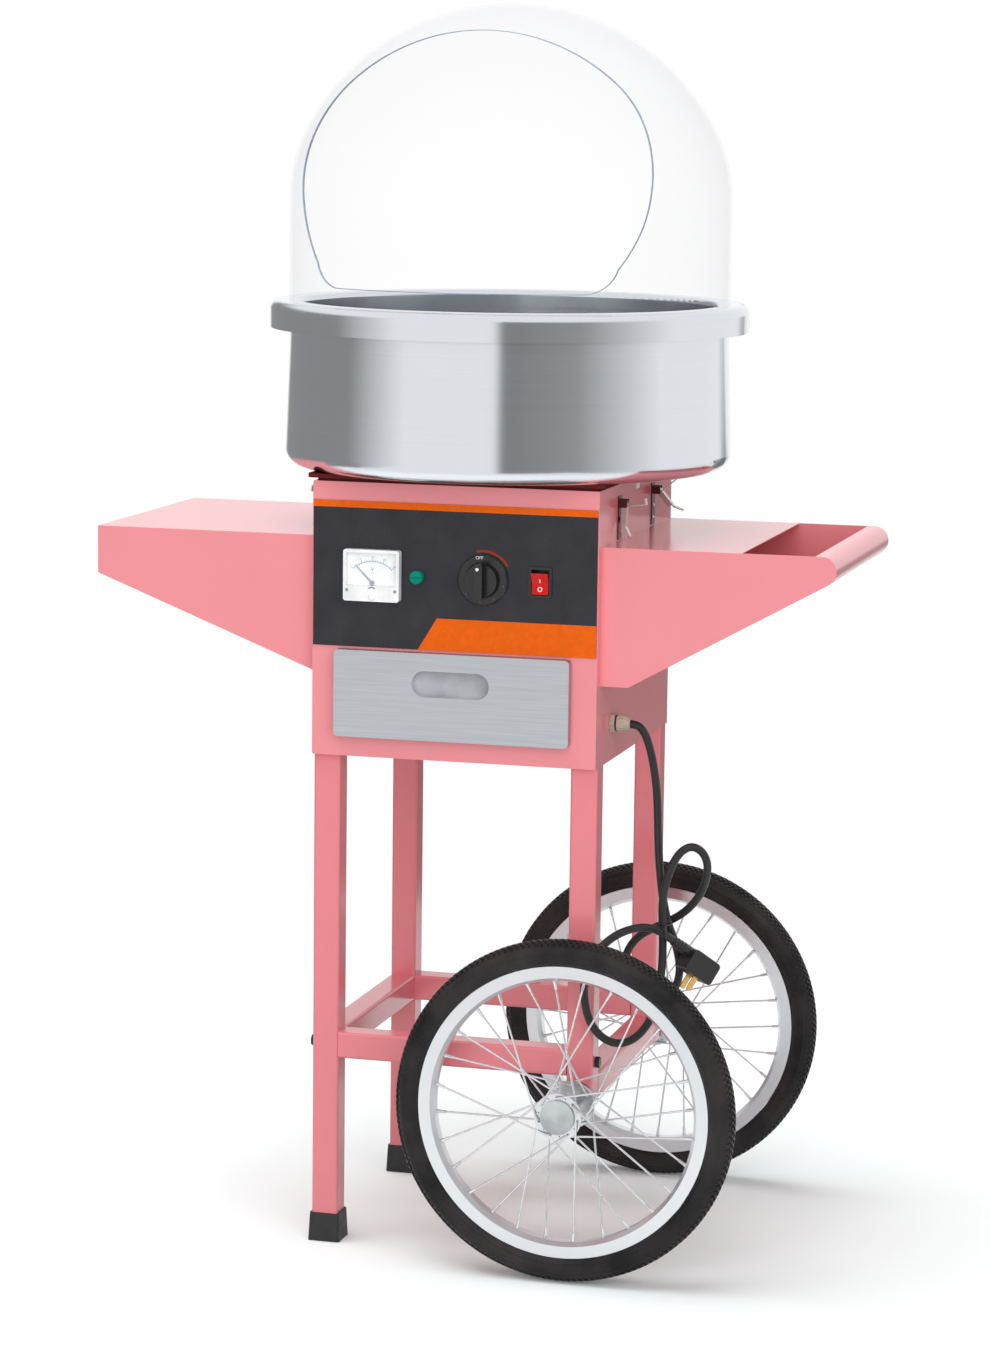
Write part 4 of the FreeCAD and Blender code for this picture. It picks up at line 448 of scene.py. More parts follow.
LEAD_ROUTE = (
    (181, -105, 602), (192, -105, 602), (200.5, -105, 594), (207, -105, 577),
    (212, -105, 555), (216, -106, 530), (218, -108, 503), (220, -111, 469),
    (223, -113, 435), (228, -114, 404), (233, -113, 382), (239, -108, 364),
    (243, -103, 346), (245, -100, 327), (241, -99, 308), (229, -98, 293),
    (212, -98, 286), (195, -98, 291), (183, -97, 306), (179, -97, 326),
    (184, -97, 346), (195, -98, 361), (210, -100, 371), (225, -102, 379),
    (240, -102, 387), (254, -104, 398), (266, -106, 413), (274, -109, 431),
    (277, -112, 450), (272, -115, 465), (260, -117, 472), (248, -119, 466),
    (239, -121, 452), (233, -123, 434), (229, -125, 412), (229, -125, 388),
    (231, -127, 362), (232, -134, 336), (231, -144, 310), (227, -155, 285),
    (215, -166, 265), (197, -176, 256), (178, -184, 263), (164, -188, 281),
    (158, -189, 304), (157, -189, 328), (163, -187, 350), (174, -181, 366),
    (187, -169, 377), (200, -156, 382), (213, -144, 383), (226, -139, 380),
    (236, -137, 374), (243, -130, 367),
)
TIED_STRANDS = (10, 23, 35, 51)
TIE_GAP, TIE_RADIUS = 0.8 * MM, 0.9 * MM
TIE_END = ((4, -2, 2), (7, -6, 6), (8, -8, 11))


def plug_frame():
    """Where the lead ends, with X along its last run."""
    last, end = (Vector(point) * MM for point in LEAD_ROUTE[-2:])
    way = end - last
    heading = math.atan2(way.y, way.x)
    dip = math.atan2(-way.z, math.hypot(way.x, way.y))
    return (Matrix.Translation(end) @ Matrix.Rotation(heading, 4, "Z")
            @ Matrix.Rotation(dip, 4, "Y"))


PLUG_NECK = (
    # along the lead from its end, radius: ribs of the strain relief
    (0.0, 5.3), (2.0, 5.6), (2.4, 5.0), (4.4, 5.1), (4.8, 5.9), (7.0, 6.0), (7.4, 5.2), (9.4, 5.3),
    (9.8, 6.1), (12.0, 6.2), (12.4, 5.4), (14.4, 5.5), (14.8, 6.3), (17.5, 6.4), (25.0, 6.4),
    (29.0, 6.4),
)
PLUG_BLOCK = (25.0, -20.0, 65.0, 6.3)
PLUG_HALF_WIDTH, PLUG_CORNER = 11.9 * MM, 4.6 * MM
BLADE_OUTLINE = (42.7, -36.8, 49.3, -18.0)
BLADE_CORNER, BLADE_HALF, BLADE_APART = 2.4 * MM, 0.9 * MM, 6.35 * MM


def make_plug(material, brass):
    """Moulded plug with its strain relief, and the two blades."""
    turn = plug_frame()
    shape = bmesh.new()
    neck = [(radius, along) for along, radius in PLUG_NECK]
    lathe(shape, in_mm([(0.0, 0.0), *neck, (0.0, PLUG_NECK[-1][0])]), 32, (0, 0, 0), "X", closed=False)
    low_x, low_z, high_x, high_z = (value * MM for value in PLUG_BLOCK)
    slab(shape, rounded(low_x, low_z, high_x, high_z, PLUG_CORNER), -PLUG_HALF_WIDTH, PLUG_HALF_WIDTH)
    bmesh.ops.transform(shape, matrix=turn, verts=shape.verts)
    body = mesh_piece("plug_body", shape, material, "cart")
    soften(body, 1.2 * MM, 3, 50.0)
    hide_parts("power_plug")

    shape = bmesh.new()
    low_x, low_z, high_x, high_z = (value * MM for value in BLADE_OUTLINE)
    for middle in (-BLADE_APART, BLADE_APART):
        slab(shape, rounded(low_x, low_z, high_x, high_z, BLADE_CORNER), middle - BLADE_HALF,
             middle + BLADE_HALF)
    bmesh.ops.transform(shape, matrix=turn, verts=shape.verts)
    blades = mesh_piece("plug_blades", shape, brass, "cart")
    soften(blades, 0.25 * MM)
    return [body, blades]


def make_tie(material):
    """Twisted tie round the four strands of the hank."""
    strands = [Vector(LEAD_ROUTE[index]) * MM for index in TIED_STRANDS]
    height = sum(strand.z for strand in strands) / len(strands)
    strands.sort(key=lambda strand: strand.y)
    away = sizes().cord_radius + TIE_GAP
    path = []
    for side, order in ((1, strands), (-1, strands[::-1])):
        path += [Vector((strand.x + side * away, strand.y, height)) for strand in order]
        path.append(Vector((order[-1].x, order[-1].y + side * away, height)))
    pieces = [wire("lead_tie", path, TIE_RADIUS, material, "cart", closed=True)]
    knot = Vector((strands[0].x + away, strands[0].y, height))
    for end, sign in (("low", -1), ("high", 1)):
        twist = [knot + Vector((x, y, z * sign)) * MM for x, y, z in TIE_END]
        pieces.append(wire(f"lead_tie_end_{end}", [knot, *twist], TIE_RADIUS, material, "cart"))
    return pieces


def make_lead():
    shade_of = colours()
    sheath = moulded("lead_sheath", shade(shade_of.black, 1.1), roughness=0.42, grain=500.0, depth=0.02)
    plug = moulded("plug_moulding", shade_of.black, roughness=0.38)
    brass = turned_metal("blade_brass", shade_of.brass, "Z", roughness=0.22, anisotropy=0.2)
    lead = wire("mains_lead", [Vector(point) * MM for point in LEAD_ROUTE], sizes().cord_radius,
                sheath, "cart")
    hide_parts("power_cord")
    on_it = make_plug(plug, brass) + make_tie(sheath)


# ---- wheels -----------------------------------------------------------------------------------

TYRE_PROFILE = (
    # radius below the crown of the tread base, half width
    (25.2, 11.5), (24.6, 12.4), (23.2, 14.2), (21.6, 15.8), (20.6, 16.3), (20.2, 17.0),
    (19.2, 17.1), (18.6, 16.9), (16.0, 17.5), (13.2, 17.8), (11.6, 17.7), (11.2, 18.0), (10.2, 18.0),
    (9.8, 17.4), (7.6, 16.6), (5.4, 15.3), (3.4, 13.2), (1.6, 9.6), (0.4, 5.0), (0.0, 0.0),
)
TYRE_STEPS = 144
TREAD_HALF_WIDTH = 14.2 * MM
TREAD_ROOT = 0.4 * MM
BLOCK_LENGTH_SHARE, BLOCK_WIDTH_SHARE, BLOCK_LEAN_SHARE = 0.62, 0.82, 0.8
BLOCK_TAPER = ((0.735, 0.9), (0.98, 0.72))


def tyre_crown(across):
    """How far the tread base falls below its crown, across the tyre."""
    points = [(half, drop) for drop, half in reversed(TYRE_PROFILE)]
    for (near, drop), (far, next_drop) in zip(points, points[1:]):
        if near <= abs(across) <= far:
            return drop + (next_drop - drop) * (abs(across) - near) / (far - near)
    return points[-1][1]


def tread_block(shape, centre, base, angle, half_angle, across, half_across, lean):
    """One block of tread, a little narrower at its top."""
    levels = [(share * sizes().tread_height, narrow) for share, narrow in BLOCK_TAPER]
    rings = []
    for lift, narrow in ((-TREAD_ROOT, 1.0), *levels):
        rings.append([shape.verts.new(turned_point(
            centre, "Y", base + lift - lean * side * narrow, angle + half_angle * turn * narrow,
            across + half_across * side * narrow))
            for turn, side in ((-1, -1), (1, -1), (1, 1), (-1, 1))])
    skin(shape, rings)
    shape.faces.new(rings[-1])


def make_tyre(end, material):
    """Tyre with its moulded profile and rows of staggered tread blocks."""
    low, high, centre = corners(f"{end}_tyre")
    crown = (high.z - low.z) / 2 - sizes().tread_height
    half = [(crown - drop * MM, wide * MM) for drop, wide in TYRE_PROFILE]
    shape = bmesh.new()
    lathe(shape, half + [(radius, -along) for radius, along in reversed(half[:-1])], TYRE_STEPS,
          centre, "Y")
    rows, blocks = sizes().tread_rows, sizes().tread_blocks
    step = 2 * math.pi / blocks
    row_width = 2 * TREAD_HALF_WIDTH / rows
    for row in range(rows):
        across = (row - (rows - 1) / 2) * row_width
        inner, middle, outer = (tyre_crown((abs(across) + shift * row_width / 2) / MM) * MM
                                for shift in (-1, 0, 1))
        lean = math.copysign((outer - inner) / 2 * BLOCK_LEAN_SHARE, across)
        for block in range(blocks):
            tread_block(shape, centre, crown - middle, step * (block + 0.5 * (row % 2)),
                        step * BLOCK_LENGTH_SHARE / 2, across, row_width * BLOCK_WIDTH_SHARE / 2, lean)
    tyre = mesh_piece(f"{end}_tread_tyre", shape, material, f"{end}_wheel", 30.0)
    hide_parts(f"{end}_tyre")


SPOKE_CROSSING = 3
SPOKE_RADIUS, SPOKE_REACH, SPOKE_GAP = 1.1 * MM, 145.6 * MM, 0.3 * MM
FLANGE_PLACE, FLANGE_CIRCLE, FLANGE_WALL = 28.5 * MM, 22.0 * MM, 3.0 * MM
WHEEL_TURN = {"front": 18.0, "back": 0.0}
NIPPLE_PROFILE = ((0.0, 1.5), (0.2, 2.1), (3.0, 2.1), (3.6, 1.8), (11.0, 1.6), (11.6, 1.15))
NIPPLE_STEPS, NIPPLE_SINK = 10, 1.2 * MM


def spoke_line(index, side_out, turn, centre):
    """Hub end and rim end of one spoke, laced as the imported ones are."""
    pitch = 2 * math.pi / sizes().spokes
    side = 1 if index % 2 == 0 else -1
    lead = 1 if (index // 2) % 2 == 0 else -1
    rim_angle = index * pitch + math.radians(turn)
    hub_angle = rim_angle + lead * 2 * pitch * SPOKE_CROSSING
    off = FLANGE_WALL / 2 + SPOKE_RADIUS + SPOKE_GAP
    hub_height = FLANGE_PLACE + off + FLANGE_WALL if lead > 0 else FLANGE_PLACE - off
    rim_height = (2 + lead) * SPOKE_RADIUS

    def spot(radius, angle, height):
        across, up = radius * math.cos(angle), radius * math.sin(angle) * -side_out
        return centre + Vector((across, height * side * side_out, up))
    return spot(FLANGE_CIRCLE, hub_angle, hub_height), spot(SPOKE_REACH, rim_angle, rim_height)


def make_nipples(end, side_out, material):
    """Nipples that hold the spokes to the rim."""
    rim, tyre = (corners(f"{end}_{part}")[2] for part in ("rim", "tyre"))
    centre = Vector((rim.x, tyre.y, rim.z))
    shape = bmesh.new()
    for index in range(sizes().spokes):
        hub_end, rim_end = spoke_line(index, side_out, WHEEL_TURN[end], centre)
        way = (hub_end - rim_end).normalized()
        start = rim_end - way * NIPPLE_SINK
        turn = way.to_track_quat("Z", "Y").to_matrix()
        rings = []
        for along, radius in in_mm(NIPPLE_PROFILE):
            angles = [2 * math.pi * step / NIPPLE_STEPS for step in range(NIPPLE_STEPS)]
            rings.append([shape.verts.new(start + turn @ Vector((
                radius * math.cos(angle), radius * math.sin(angle), along))) for angle in angles])
        skin(shape, rings)
        shape.faces.new(rings[0])
        shape.faces.new(rings[-1])
    mesh_piece(f"{end}_nipples", shape, material, f"{end}_wheel", 50.0)


def make_wheels():
    shade_of = colours()
    rubber = tyre_rubber("tyre_tread_rubber", shade_of.rubber)
    rim = turned_metal("rim_brushed", shade_of.alloy, "Y", roughness=0.3, anisotropy=0.4,
                       grain=(40.0, 300.0, 40.0), depth=0.002, lines_show=0.2)
    hub = turned_metal("hub_satin", shade(shade_of.alloy, 0.92), "Y", roughness=0.24, anisotropy=0.3,
                       grain=(300.0, 300.0, 300.0), depth=0.002, lines_show=0.3)
    bright = brushed("spoke_bright", shade(shade_of.alloy, 1.02), grain=(250.0, 250.0, 250.0),
                     roughness=0.16).material
    for end, side_out in ENDS:
        make_tyre(end, rubber)
        make_nipples(end, side_out, bright)
        finish_node(rim, f"{end}_rim")
        finish_node(hub, f"{end}_hub")
        finish_node(bright, f"{end}_spokes")
    finish_node(moulded("cap_plastic", (0.50, 0.53, 0.53), roughness=0.42), "axle_caps")
    finish_node(brushed("axle_steel", shade(shade_of.steel, 0.8), grain=(500.0, 60.0, 500.0),
                        roughness=0.3).material, "axle", "axle_spacers", "wheel_bearings")


# ---- stand ------------------------------------------------------------------------------------

def make_stand():
    """Powder-coated tubes, rubber feet and capped bolts."""
    shade_of = colours()
    finish_node(powder_coat("stand_powder_coat", shade_of.stand), "leg_front_left",
                "leg_back_left", "leg_front_right", "leg_back_right", "stretcher_front",
                "stretcher_back", "stretcher_left", "axle_beam")
    finish_node(moulded("foot_rubber_grain", shade_of.rubber, roughness=0.55, grain=500.0, depth=0.08),
                "rubber_feet")
    finish_node(moulded("bolt_black", shade_of.black, roughness=0.4), "frame_bolts")


# ---- case, panel and drawer -------------------------------------------------------------------

def make_case():
    """Powder-coated case and wings, and the plate under the bowl, whose dark red is red paint with
    painted shade in it.
    """
    shade_of = colours()
    coat = powder_coat("case_powder_coat", shade_of.case)
    finish_node(coat, "case_front", "case_wrap", "case_top", "case_base", "left_wing_tray",
                "left_wing_lid", "right_wing_top", "right_wing_handle")
    # Painted shade: the base plate's dark red stands in partly for the shade under the bowl; it has no
    # shine and no coat.
    finish_node(powder_coat("base_plate_enamel_painted_shade", shade_of.red, roughness=0.85, shine=0.0, coat=0.0),
                "bowl_base_plate")
    finish_node(powder_coat("bracket_brown", shade(shade_of.red, 0.42), roughness=0.3, shine=0.3,
                            coat=0.1), "latch_brackets")


PANEL_STRIPE_HEIGHT = 7.5 * MM
PANEL_BAND = ((-40.5, 0.0), (-19.0, 35.5), (161.4, 35.5), (161.4, 0.0))
HEAT_ARC = (30.4 * MM, 32.8 * MM, 30.0, 104.0)


def make_panel():
    """Dark control panel with its orange bands and the heat arc round the knob."""
    shade_of = colours()
    finish_node(moulded("panel_ground", shade_of.panel, roughness=0.3, grain=1500.0, depth=0.005,
                        shine=0.3), "control_panel")
    orange = ink("panel_orange", shade_of.orange)
    low, high, _ = corners("control_panel")
    stripe = rectangle(low.x, high.z - PANEL_STRIPE_HEIGHT, high.x, high.z)
    printed("panel_stripe", stripe, low.y, orange)
    printed("panel_band", [(u, low.z + v) for u, v in in_mm(PANEL_BAND)], low.y, orange)
    knob = corners("heat_knob")[2]
    printed("heat_arc", arc_band(*HEAT_ARC, (knob.x, knob.z)), low.y,
            ink("heat_arc_red", (0.34, 0.035, 0.01)))


PULL_CUP = ((0.0, 0.8), (4.0, 0.6), (8.5, -0.6), (11.0, -3.0))
PULL_DROP, PULL_SHEET, PULL_WALL = 34.0 * MM, 1.25 * MM, 0.6 * MM
PULL_HALF_LENGTH, PULL_HALF_HEIGHT, PULL_CORNER = 44.0 * MM, 14.5 * MM, 14.4 * MM


def make_drawer():
    """Brushed drawer, with a shallow cup behind its finger slot."""
    shade_of = colours()
    low, high, _ = corners("drawer_front")
    slot_z = high.z - PULL_DROP
    shape = bmesh.new()
    rings = []
    for deep, wider in in_mm(PULL_CUP):
        half_length, half_height = PULL_HALF_LENGTH + wider, PULL_HALF_HEIGHT + wider
        outline = rounded(-half_length, slot_z - half_height, half_length, slot_z + half_height,
                          PULL_CORNER + wider, 10)
        rings.append([shape.verts.new((u, low.y + PULL_SHEET + deep, v)) for u, v in outline])
    skin(shape, rings)
    shape.faces.new(rings[-1])
    grey = moulded("cup_grey", (0.40, 0.415, 0.44), roughness=0.4, grain=300.0, depth=0.004)
    cup = mesh_piece("drawer_pull_cup", shape, grey, "drawer", 50.0)
    cup.modifiers.new("cup_thickness", "SOLIDIFY").thickness = PULL_WALL
    finish_node(brushed("drawer_brushed", shade(shade_of.steel, 0.82), grain=(14.0, 900.0, 900.0),
                        roughness=0.36, depth=0.02).material, "drawer_front", "drawer_box")
    finish_node(brushed("runner_zinc", shade(shade_of.steel, 0.8), grain=(20.0, 500.0, 500.0),
                        roughness=0.35).material, "drawer_runners")


# ---- controls ---------------------------------------------------------------------------------

METER_WINDOW = (28.4 * MM, 752.2 * MM, 788.3 * MM)
METER_DEPTH, DIAL_PAPER, DIAL_CORNER = 6.0 * MM, 0.15 * MM, 0.6 * MM
SCALE_RADII = (32.4 * MM, 33.2 * MM)
SCALE_SPREAD, SCALE_CENTRE = 43.0, 746.0 * MM
SCALE_LABELS = ("0", "75", "150", "225", "300")
SCALE_LABEL_HEIGHT, SCALE_LABEL_RADIUS = 2.6 * MM, 37.6 * MM
TICKS_TO_LABEL = 4
LONG_TICK, SHORT_TICK = (2.8 * MM, 0.34 * MM), (1.3 * MM, 0.2 * MM)
VOLT_SIGN_HEIGHT, VOLT_SIGN_PLACE = 5.5 * MM, 770.0 * MM
VOLT_BAR = (2.0 * MM, 765.6 * MM, 766.0 * MM)
COVER_GAP, COVER_FACE, COVER_BACK, COVER_CORNER = 0.2 * MM, 0.1 * MM, 1.2 * MM, 1.2 * MM
ZERO_BOSS = ((0.0, -1.6), (3.0, -1.6), (3.6, -1.0), (3.8, 0.2), (0.0, 0.2))
ZERO_BOSS_ACROSS, ZERO_BOSS_HEIGHT = 1.2 * MM, 740.0 * MM
ZERO_MARK = (7.4 * MM, 8.6 * MM, 62.0, 118.0)
ZERO_MARK_ACROSS, ZERO_MARK_HEIGHT, ZERO_MARK_RISE = 1.0 * MM, 742.5 * MM, 0.3 * MM
METER_SCREWS_APART, METER_SCREW_HEIGHT, METER_SCREW_RADIUS = 55.2 * MM, 747.0 * MM, 1.9 * MM


def scale_way(share):
    """Direction from the scale's centre at a share of its sweep, from left to right."""
    angle = math.radians(90 + SCALE_SPREAD - 2 * SCALE_SPREAD * share)
    return Vector((math.cos(angle), math.sin(angle)))


def make_dial(x, face, dark):
    """Dial with a blue scale, plain numbers and a V."""
    blue = ink("dial_ink", (0.32, 0.44, 0.60))
    half, dial_low, dial_high = METER_WINDOW
    print_y = face + METER_DEPTH - DIAL_PAPER
    plate = bmesh.new()
    slab(plate, rounded(x - half, dial_low, x + half, dial_high, DIAL_CORNER), print_y,
         face + METER_DEPTH + PRINT_SINK)
    mesh_piece("dial_plate", plate, ink("dial_paper", (0.97, 0.98, 0.99)), "cart")
    centre = Vector((x, SCALE_CENTRE))
    printed("dial_arc", arc_band(*SCALE_RADII, 90 - SCALE_SPREAD, 90 + SCALE_SPREAD, centre), print_y,
            blue, "cart")
    ticks = bmesh.new()
    divisions = TICKS_TO_LABEL * (len(SCALE_LABELS) - 1)
    for step in range(divisions + 1):
        long, thick = SHORT_TICK if step % TICKS_TO_LABEL else LONG_TICK
        way = scale_way(step / divisions)
        side = Vector((-way.y, way.x)) * thick
        foot = centre + way * SCALE_RADII[1]
        tip = foot + way * long
        slab(ticks, [foot - side, tip - side, tip + side, foot + side],
             print_y - sizes().print_height, print_y)
    mesh_piece("dial_ticks", ticks, blue, "cart")
    for index, label in enumerate(SCALE_LABELS):
        spot = centre + scale_way(index / (len(SCALE_LABELS) - 1)) * SCALE_LABEL_RADIUS
        lettering(f"dial_number_{label}", label, SCALE_LABEL_HEIGHT, Vector((spot.x, print_y, spot.y)),
                  dark, "cart")
    lettering("dial_volt_sign", "V", VOLT_SIGN_HEIGHT, Vector((x, print_y, VOLT_SIGN_PLACE)), dark,
              "cart")
    half_bar, bar_low, bar_high = VOLT_BAR
    printed("dial_volt_bar", rectangle(x - half_bar, bar_low, x + half_bar, bar_high), print_y, dark,
            "cart")


def make_voltmeter():
    """Voltmeter: its dial and needle, clear cover, zero boss and two screws."""
    face, x = corners("voltmeter_case")[0].y, corners("voltmeter_case")[2].x
    white = moulded("meter_white", (0.93, 0.94, 0.95), roughness=0.14, grain=300.0, depth=0.002)
    dark = ink("dial_dark_ink", (0.16, 0.20, 0.27))
    finish_node(white, "voltmeter_case")
    finish_node(ink("needle_grey", (0.34, 0.38, 0.44)), "voltmeter_needle")
    make_dial(x, face, dark)

    clear = clear_plastic("meter_cover_clear", (0.90, 0.94, 1.0), roughness=0.03, faces=0.01, edges=0.3)
    half, dial_low, dial_high = METER_WINDOW
    half -= COVER_GAP
    shape = bmesh.new()
    slab(shape, rounded(x - half, dial_low, x + half, dial_high, COVER_CORNER), face + COVER_FACE,
         face + COVER_BACK)
    mesh_piece("meter_cover", shape, clear, "cart")

    shape = bmesh.new()
    lathe(shape, in_mm(ZERO_BOSS), 28, (x + ZERO_BOSS_ACROSS, face, ZERO_BOSS_HEIGHT), "Y", closed=False)
    mesh_piece("meter_zero_boss", shape, white, "cart")
    shape = bmesh.new()
    slab(shape, arc_band(*ZERO_MARK, (x + ZERO_MARK_ACROSS, ZERO_MARK_HEIGHT)), face - ZERO_MARK_RISE,
         face + COVER_FACE)
    mesh_piece("meter_zero_mark", shape, dark, "cart")
    zinc = brushed("screw_zinc", (0.42, 0.42, 0.40), grain=(500.0, 500.0, 500.0), roughness=0.3).material
    for name, side in (("left", -1), ("right", 1)):
        place = Vector((x + side * METER_SCREWS_APART / 2, face, METER_SCREW_HEIGHT))
        slotted_screw(f"meter_screw_{name}", place, METER_SCREW_RADIUS, zinc, "cart")


# the form of a screw head, in shares of its radius and of its rise
SCREW_DOME = ((0.0, 1.0), (0.6, 0.9), (0.92, 0.45), (1.0, 0.0))
SCREW_RISE, SCREW_SLOT_HALF_LENGTH, SCREW_SLOT_HALF_WIDTH = 0.45, 0.8, 0.16
SCREW_SLOT_TOP, SCREW_SLOT_FLOOR = 1.5, 0.35


def slotted_screw(name, place, radius, material, body):
    """Domed screw head that faces the front, with a slot across it."""
    rise = radius * SCREW_RISE
    dome = [(radius * out, -rise * up) for out, up in SCREW_DOME]
    shape = bmesh.new()
    lathe(shape, [*dome, (radius, PRINT_SINK), (0.0, PRINT_SINK)], 20, place, "Y", closed=False)
    screw = mesh_piece(name, shape, material, body)
    long, wide = radius * SCREW_SLOT_HALF_LENGTH, radius * SCREW_SLOT_HALF_WIDTH
    groove = bmesh.new()
    slab(groove, rectangle(place.x - long, place.z - wide, place.x + long, place.z + wide),
         place.y - rise * SCREW_SLOT_TOP, place.y - rise * SCREW_SLOT_FLOOR)
    carve(screw, groove)


def carve(piece, tool_shape):
    """Cuts a tool out of a piece and applies the cut."""
    bmesh.ops.recalc_face_normals(tool_shape, faces=tool_shape.faces)
    mesh = bpy.data.meshes.new("tool")
    tool_shape.to_mesh(mesh)
    tool_shape.free()
    tool = bpy.data.objects.new("tool", mesh)
    bpy.context.scene.collection.objects.link(tool)
    cut = piece.modifiers.new("cut", "BOOLEAN")
    cut.operation = "DIFFERENCE"
    cut.solver = "EXACT"
    cut.object = tool
    bpy.context.view_layer.update()
    graph = bpy.context.evaluated_depsgraph_get()
    done = bpy.data.meshes.new_from_object(piece.evaluated_get(graph))
    old = piece.data
    piece.modifiers.clear()
    piece.data = done
    done.name = old.name
    bpy.data.meshes.remove(old)
    bpy.data.objects.remove(tool)
    bpy.data.meshes.remove(mesh)


KNOB_LETTERS = (
    # text, height, radius and angle on the skirt
    ("OFF", 5.0, 24.6, 98.0), ("1", 3.0, 24.4, 30.0), ("2", 3.0, 24.4, -14.0),
    ("3", 3.0, 24.4, -56.0), ("4", 3.0, 24.4, -96.0), ("5", 3.0, 24.4, -140.0),
)
KNOB_SKIRT = 4.0 * MM
KNOB_DOT = ((0.0, -0.35), (1.4, -0.3), (2.0, 0.05), (0.0, 0.05))
KNOB_DOT_ACROSS, KNOB_DOT_RISE = -1.0 * MM, 13.7 * MM


def make_knob():
    """Heat knob with its white dot and the plain numbers on its skirt."""
    black = colours().black
    finish_node(moulded("knob_black", black, roughness=0.24, grain=700.0, depth=0.01), "heat_knob")
    finish_node(moulded("housing_black", black, roughness=0.42), "heat_regulator", "fuse_holder",
                "brush_holder")
    white = ink("knob_white", (0.85, 0.85, 0.85))
    faint = ink("knob_numbers", (0.20, 0.20, 0.20))
    low, high, middle = corners("heat_knob")
    for text, height, radius, angle in KNOB_LETTERS:
        turn = math.radians(angle)
        spot = Vector((middle.x + radius * MM * math.cos(turn), high.y - KNOB_SKIRT,
                       middle.z + radius * MM * math.sin(turn)))
        lettering(f"knob_mark_{text.lower()}", text, height * MM, spot,
                  white if text == "OFF" else faint, "knob")
    dot = bmesh.new()
    lathe(dot, in_mm(KNOB_DOT), 24, (middle.x + KNOB_DOT_ACROSS, low.y, middle.z + KNOB_DOT_RISE), "Y",
          closed=False)
    mesh_piece("knob_dot", dot, white, "knob")


def make_fuse_cap():
    finish_node(moulded("fuse_cap_green", colours().green, roughness=0.2, grain=300.0, depth=0.004,
                        shine=0.1), "fuse_cap")


ROCKER_TILT, ROCKER_FACE_TILT = math.radians(9.0), math.radians(12.2)
ROCKER_PIVOT_DEPTH, ROCKER_WAIST = 13.0 / 3.0 * MM, 6.067 * MM
ROCKER_MARK_RISE, ROCKER_MARK_SINK = 0.25 * MM, 0.1 * MM
ROCKER_BAR_PLACE, ROCKER_BAR_HALF_WIDTH, ROCKER_BAR_HALF_HEIGHT = 3.0 * MM, 0.6 * MM, 2.1 * MM
ROCKER_RING_PLACE, ROCKER_RING_RADII = -6.4 * MM, (1.7 * MM, 2.7 * MM)


def make_switch():
    """Red rocker in its black frame, with I and O on it."""
    shade_of = colours()
    finish_node(moulded("switch_black", shade_of.black, roughness=0.3), "switch_body")
    finish_node(moulded("rocker_red_gloss", shade_of.scarlet, roughness=0.18, grain=300.0, depth=0.004,
                        shine=0.25), "switch_rocker")
    white = ink("rocker_white", (0.80, 0.80, 0.80))
    middle = corners("switch_body")[2]
    pivot = Vector((middle.x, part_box("control_panel")[0].y + ROCKER_PIVOT_DEPTH, middle.z))
    bar = bmesh.new()
    slab(bar, rounded(-ROCKER_BAR_HALF_WIDTH, -ROCKER_BAR_HALF_HEIGHT, ROCKER_BAR_HALF_WIDTH,
                      ROCKER_BAR_HALF_HEIGHT, ROCKER_BAR_HALF_WIDTH / 2, 3),
         -ROCKER_MARK_RISE, ROCKER_MARK_SINK)
    ring = bmesh.new()
    inner, outer = ROCKER_RING_RADII
    lathe(ring, rectangle(inner, -ROCKER_MARK_RISE, outer, ROCKER_MARK_SINK), 28, (0, 0, 0), "Y")
    for name, shape, along, sign in (("rocker_bar_mark", bar, ROCKER_BAR_PLACE, 1),
                                     ("rocker_ring_mark", ring, ROCKER_RING_PLACE, -1)):
        place = (Matrix.Translation(pivot) @ Matrix.Rotation(ROCKER_TILT, 4, "X")
                 @ Matrix.Translation((0, -ROCKER_WAIST, 0))
                 @ Matrix.Rotation(ROCKER_FACE_TILT * sign, 4, "X")
                 @ Matrix.Translation((0, 0, along)))
        bmesh.ops.transform(shape, matrix=place, verts=shape.verts)
        mesh_piece(name, shape, white, "rocker")


# ---- bowl, dome and spinner -------------------------------------------------------------------

def make_bowl():
    finish_node(turned_metal("bowl_spun_steel", shade(colours().steel, 1.12), "Z", roughness=0.16,
                             anisotropy=0.75, grain=(3.0, 3.0, 500.0), depth=0.002, lines_show=0.12),
                "bowl")


DOME_EDGE, DOME_EDGE_LIFT = 0.75 * MM, 0.05 * MM
DOME_FOOT, DOME_FRONT, CUT_FACE_TILT = 5.0 * MM, -50.0 * MM, 0.05


def make_dome():
    """Clear dome, with the dark polished edge of the cut sheet round its mouth."""
    finish_node(clear_plastic("dome_clear", (0.70, 0.72, 0.82), roughness=0.03, faces=0.008,
                              edges=0.2), "dome")
    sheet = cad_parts["dome"].data
    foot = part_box("dome")[0].z + DOME_FOOT
    shape = bmesh.new()
    spots = {}
    for face in sheet.polygons:
        if abs(face.normal.y) > CUT_FACE_TILT or face.center.y > DOME_FRONT or face.center.z < foot:
            continue
        ring = []
        for index in face.vertices:
            place = sheet.vertices[index].co
            key = tuple(round(part, 5) for part in place)
            if key not in spots:
                spots[key] = shape.verts.new(place + face.normal * DOME_EDGE_LIFT)
            ring.append(spots[key])
        if len(set(ring)) == len(ring):
            shape.faces.new(ring)
    polish = moulded("dome_edge_polish", (0.26, 0.32, 0.46), roughness=0.12, grain=300.0, depth=0.004)
    edge = mesh_piece("dome_mouth_edge", shape, polish, "dome_body")
    thick = edge.modifiers.new("edge_thickness", "SOLIDIFY")
    thick.thickness = DOME_EDGE
    thick.offset = 1.0


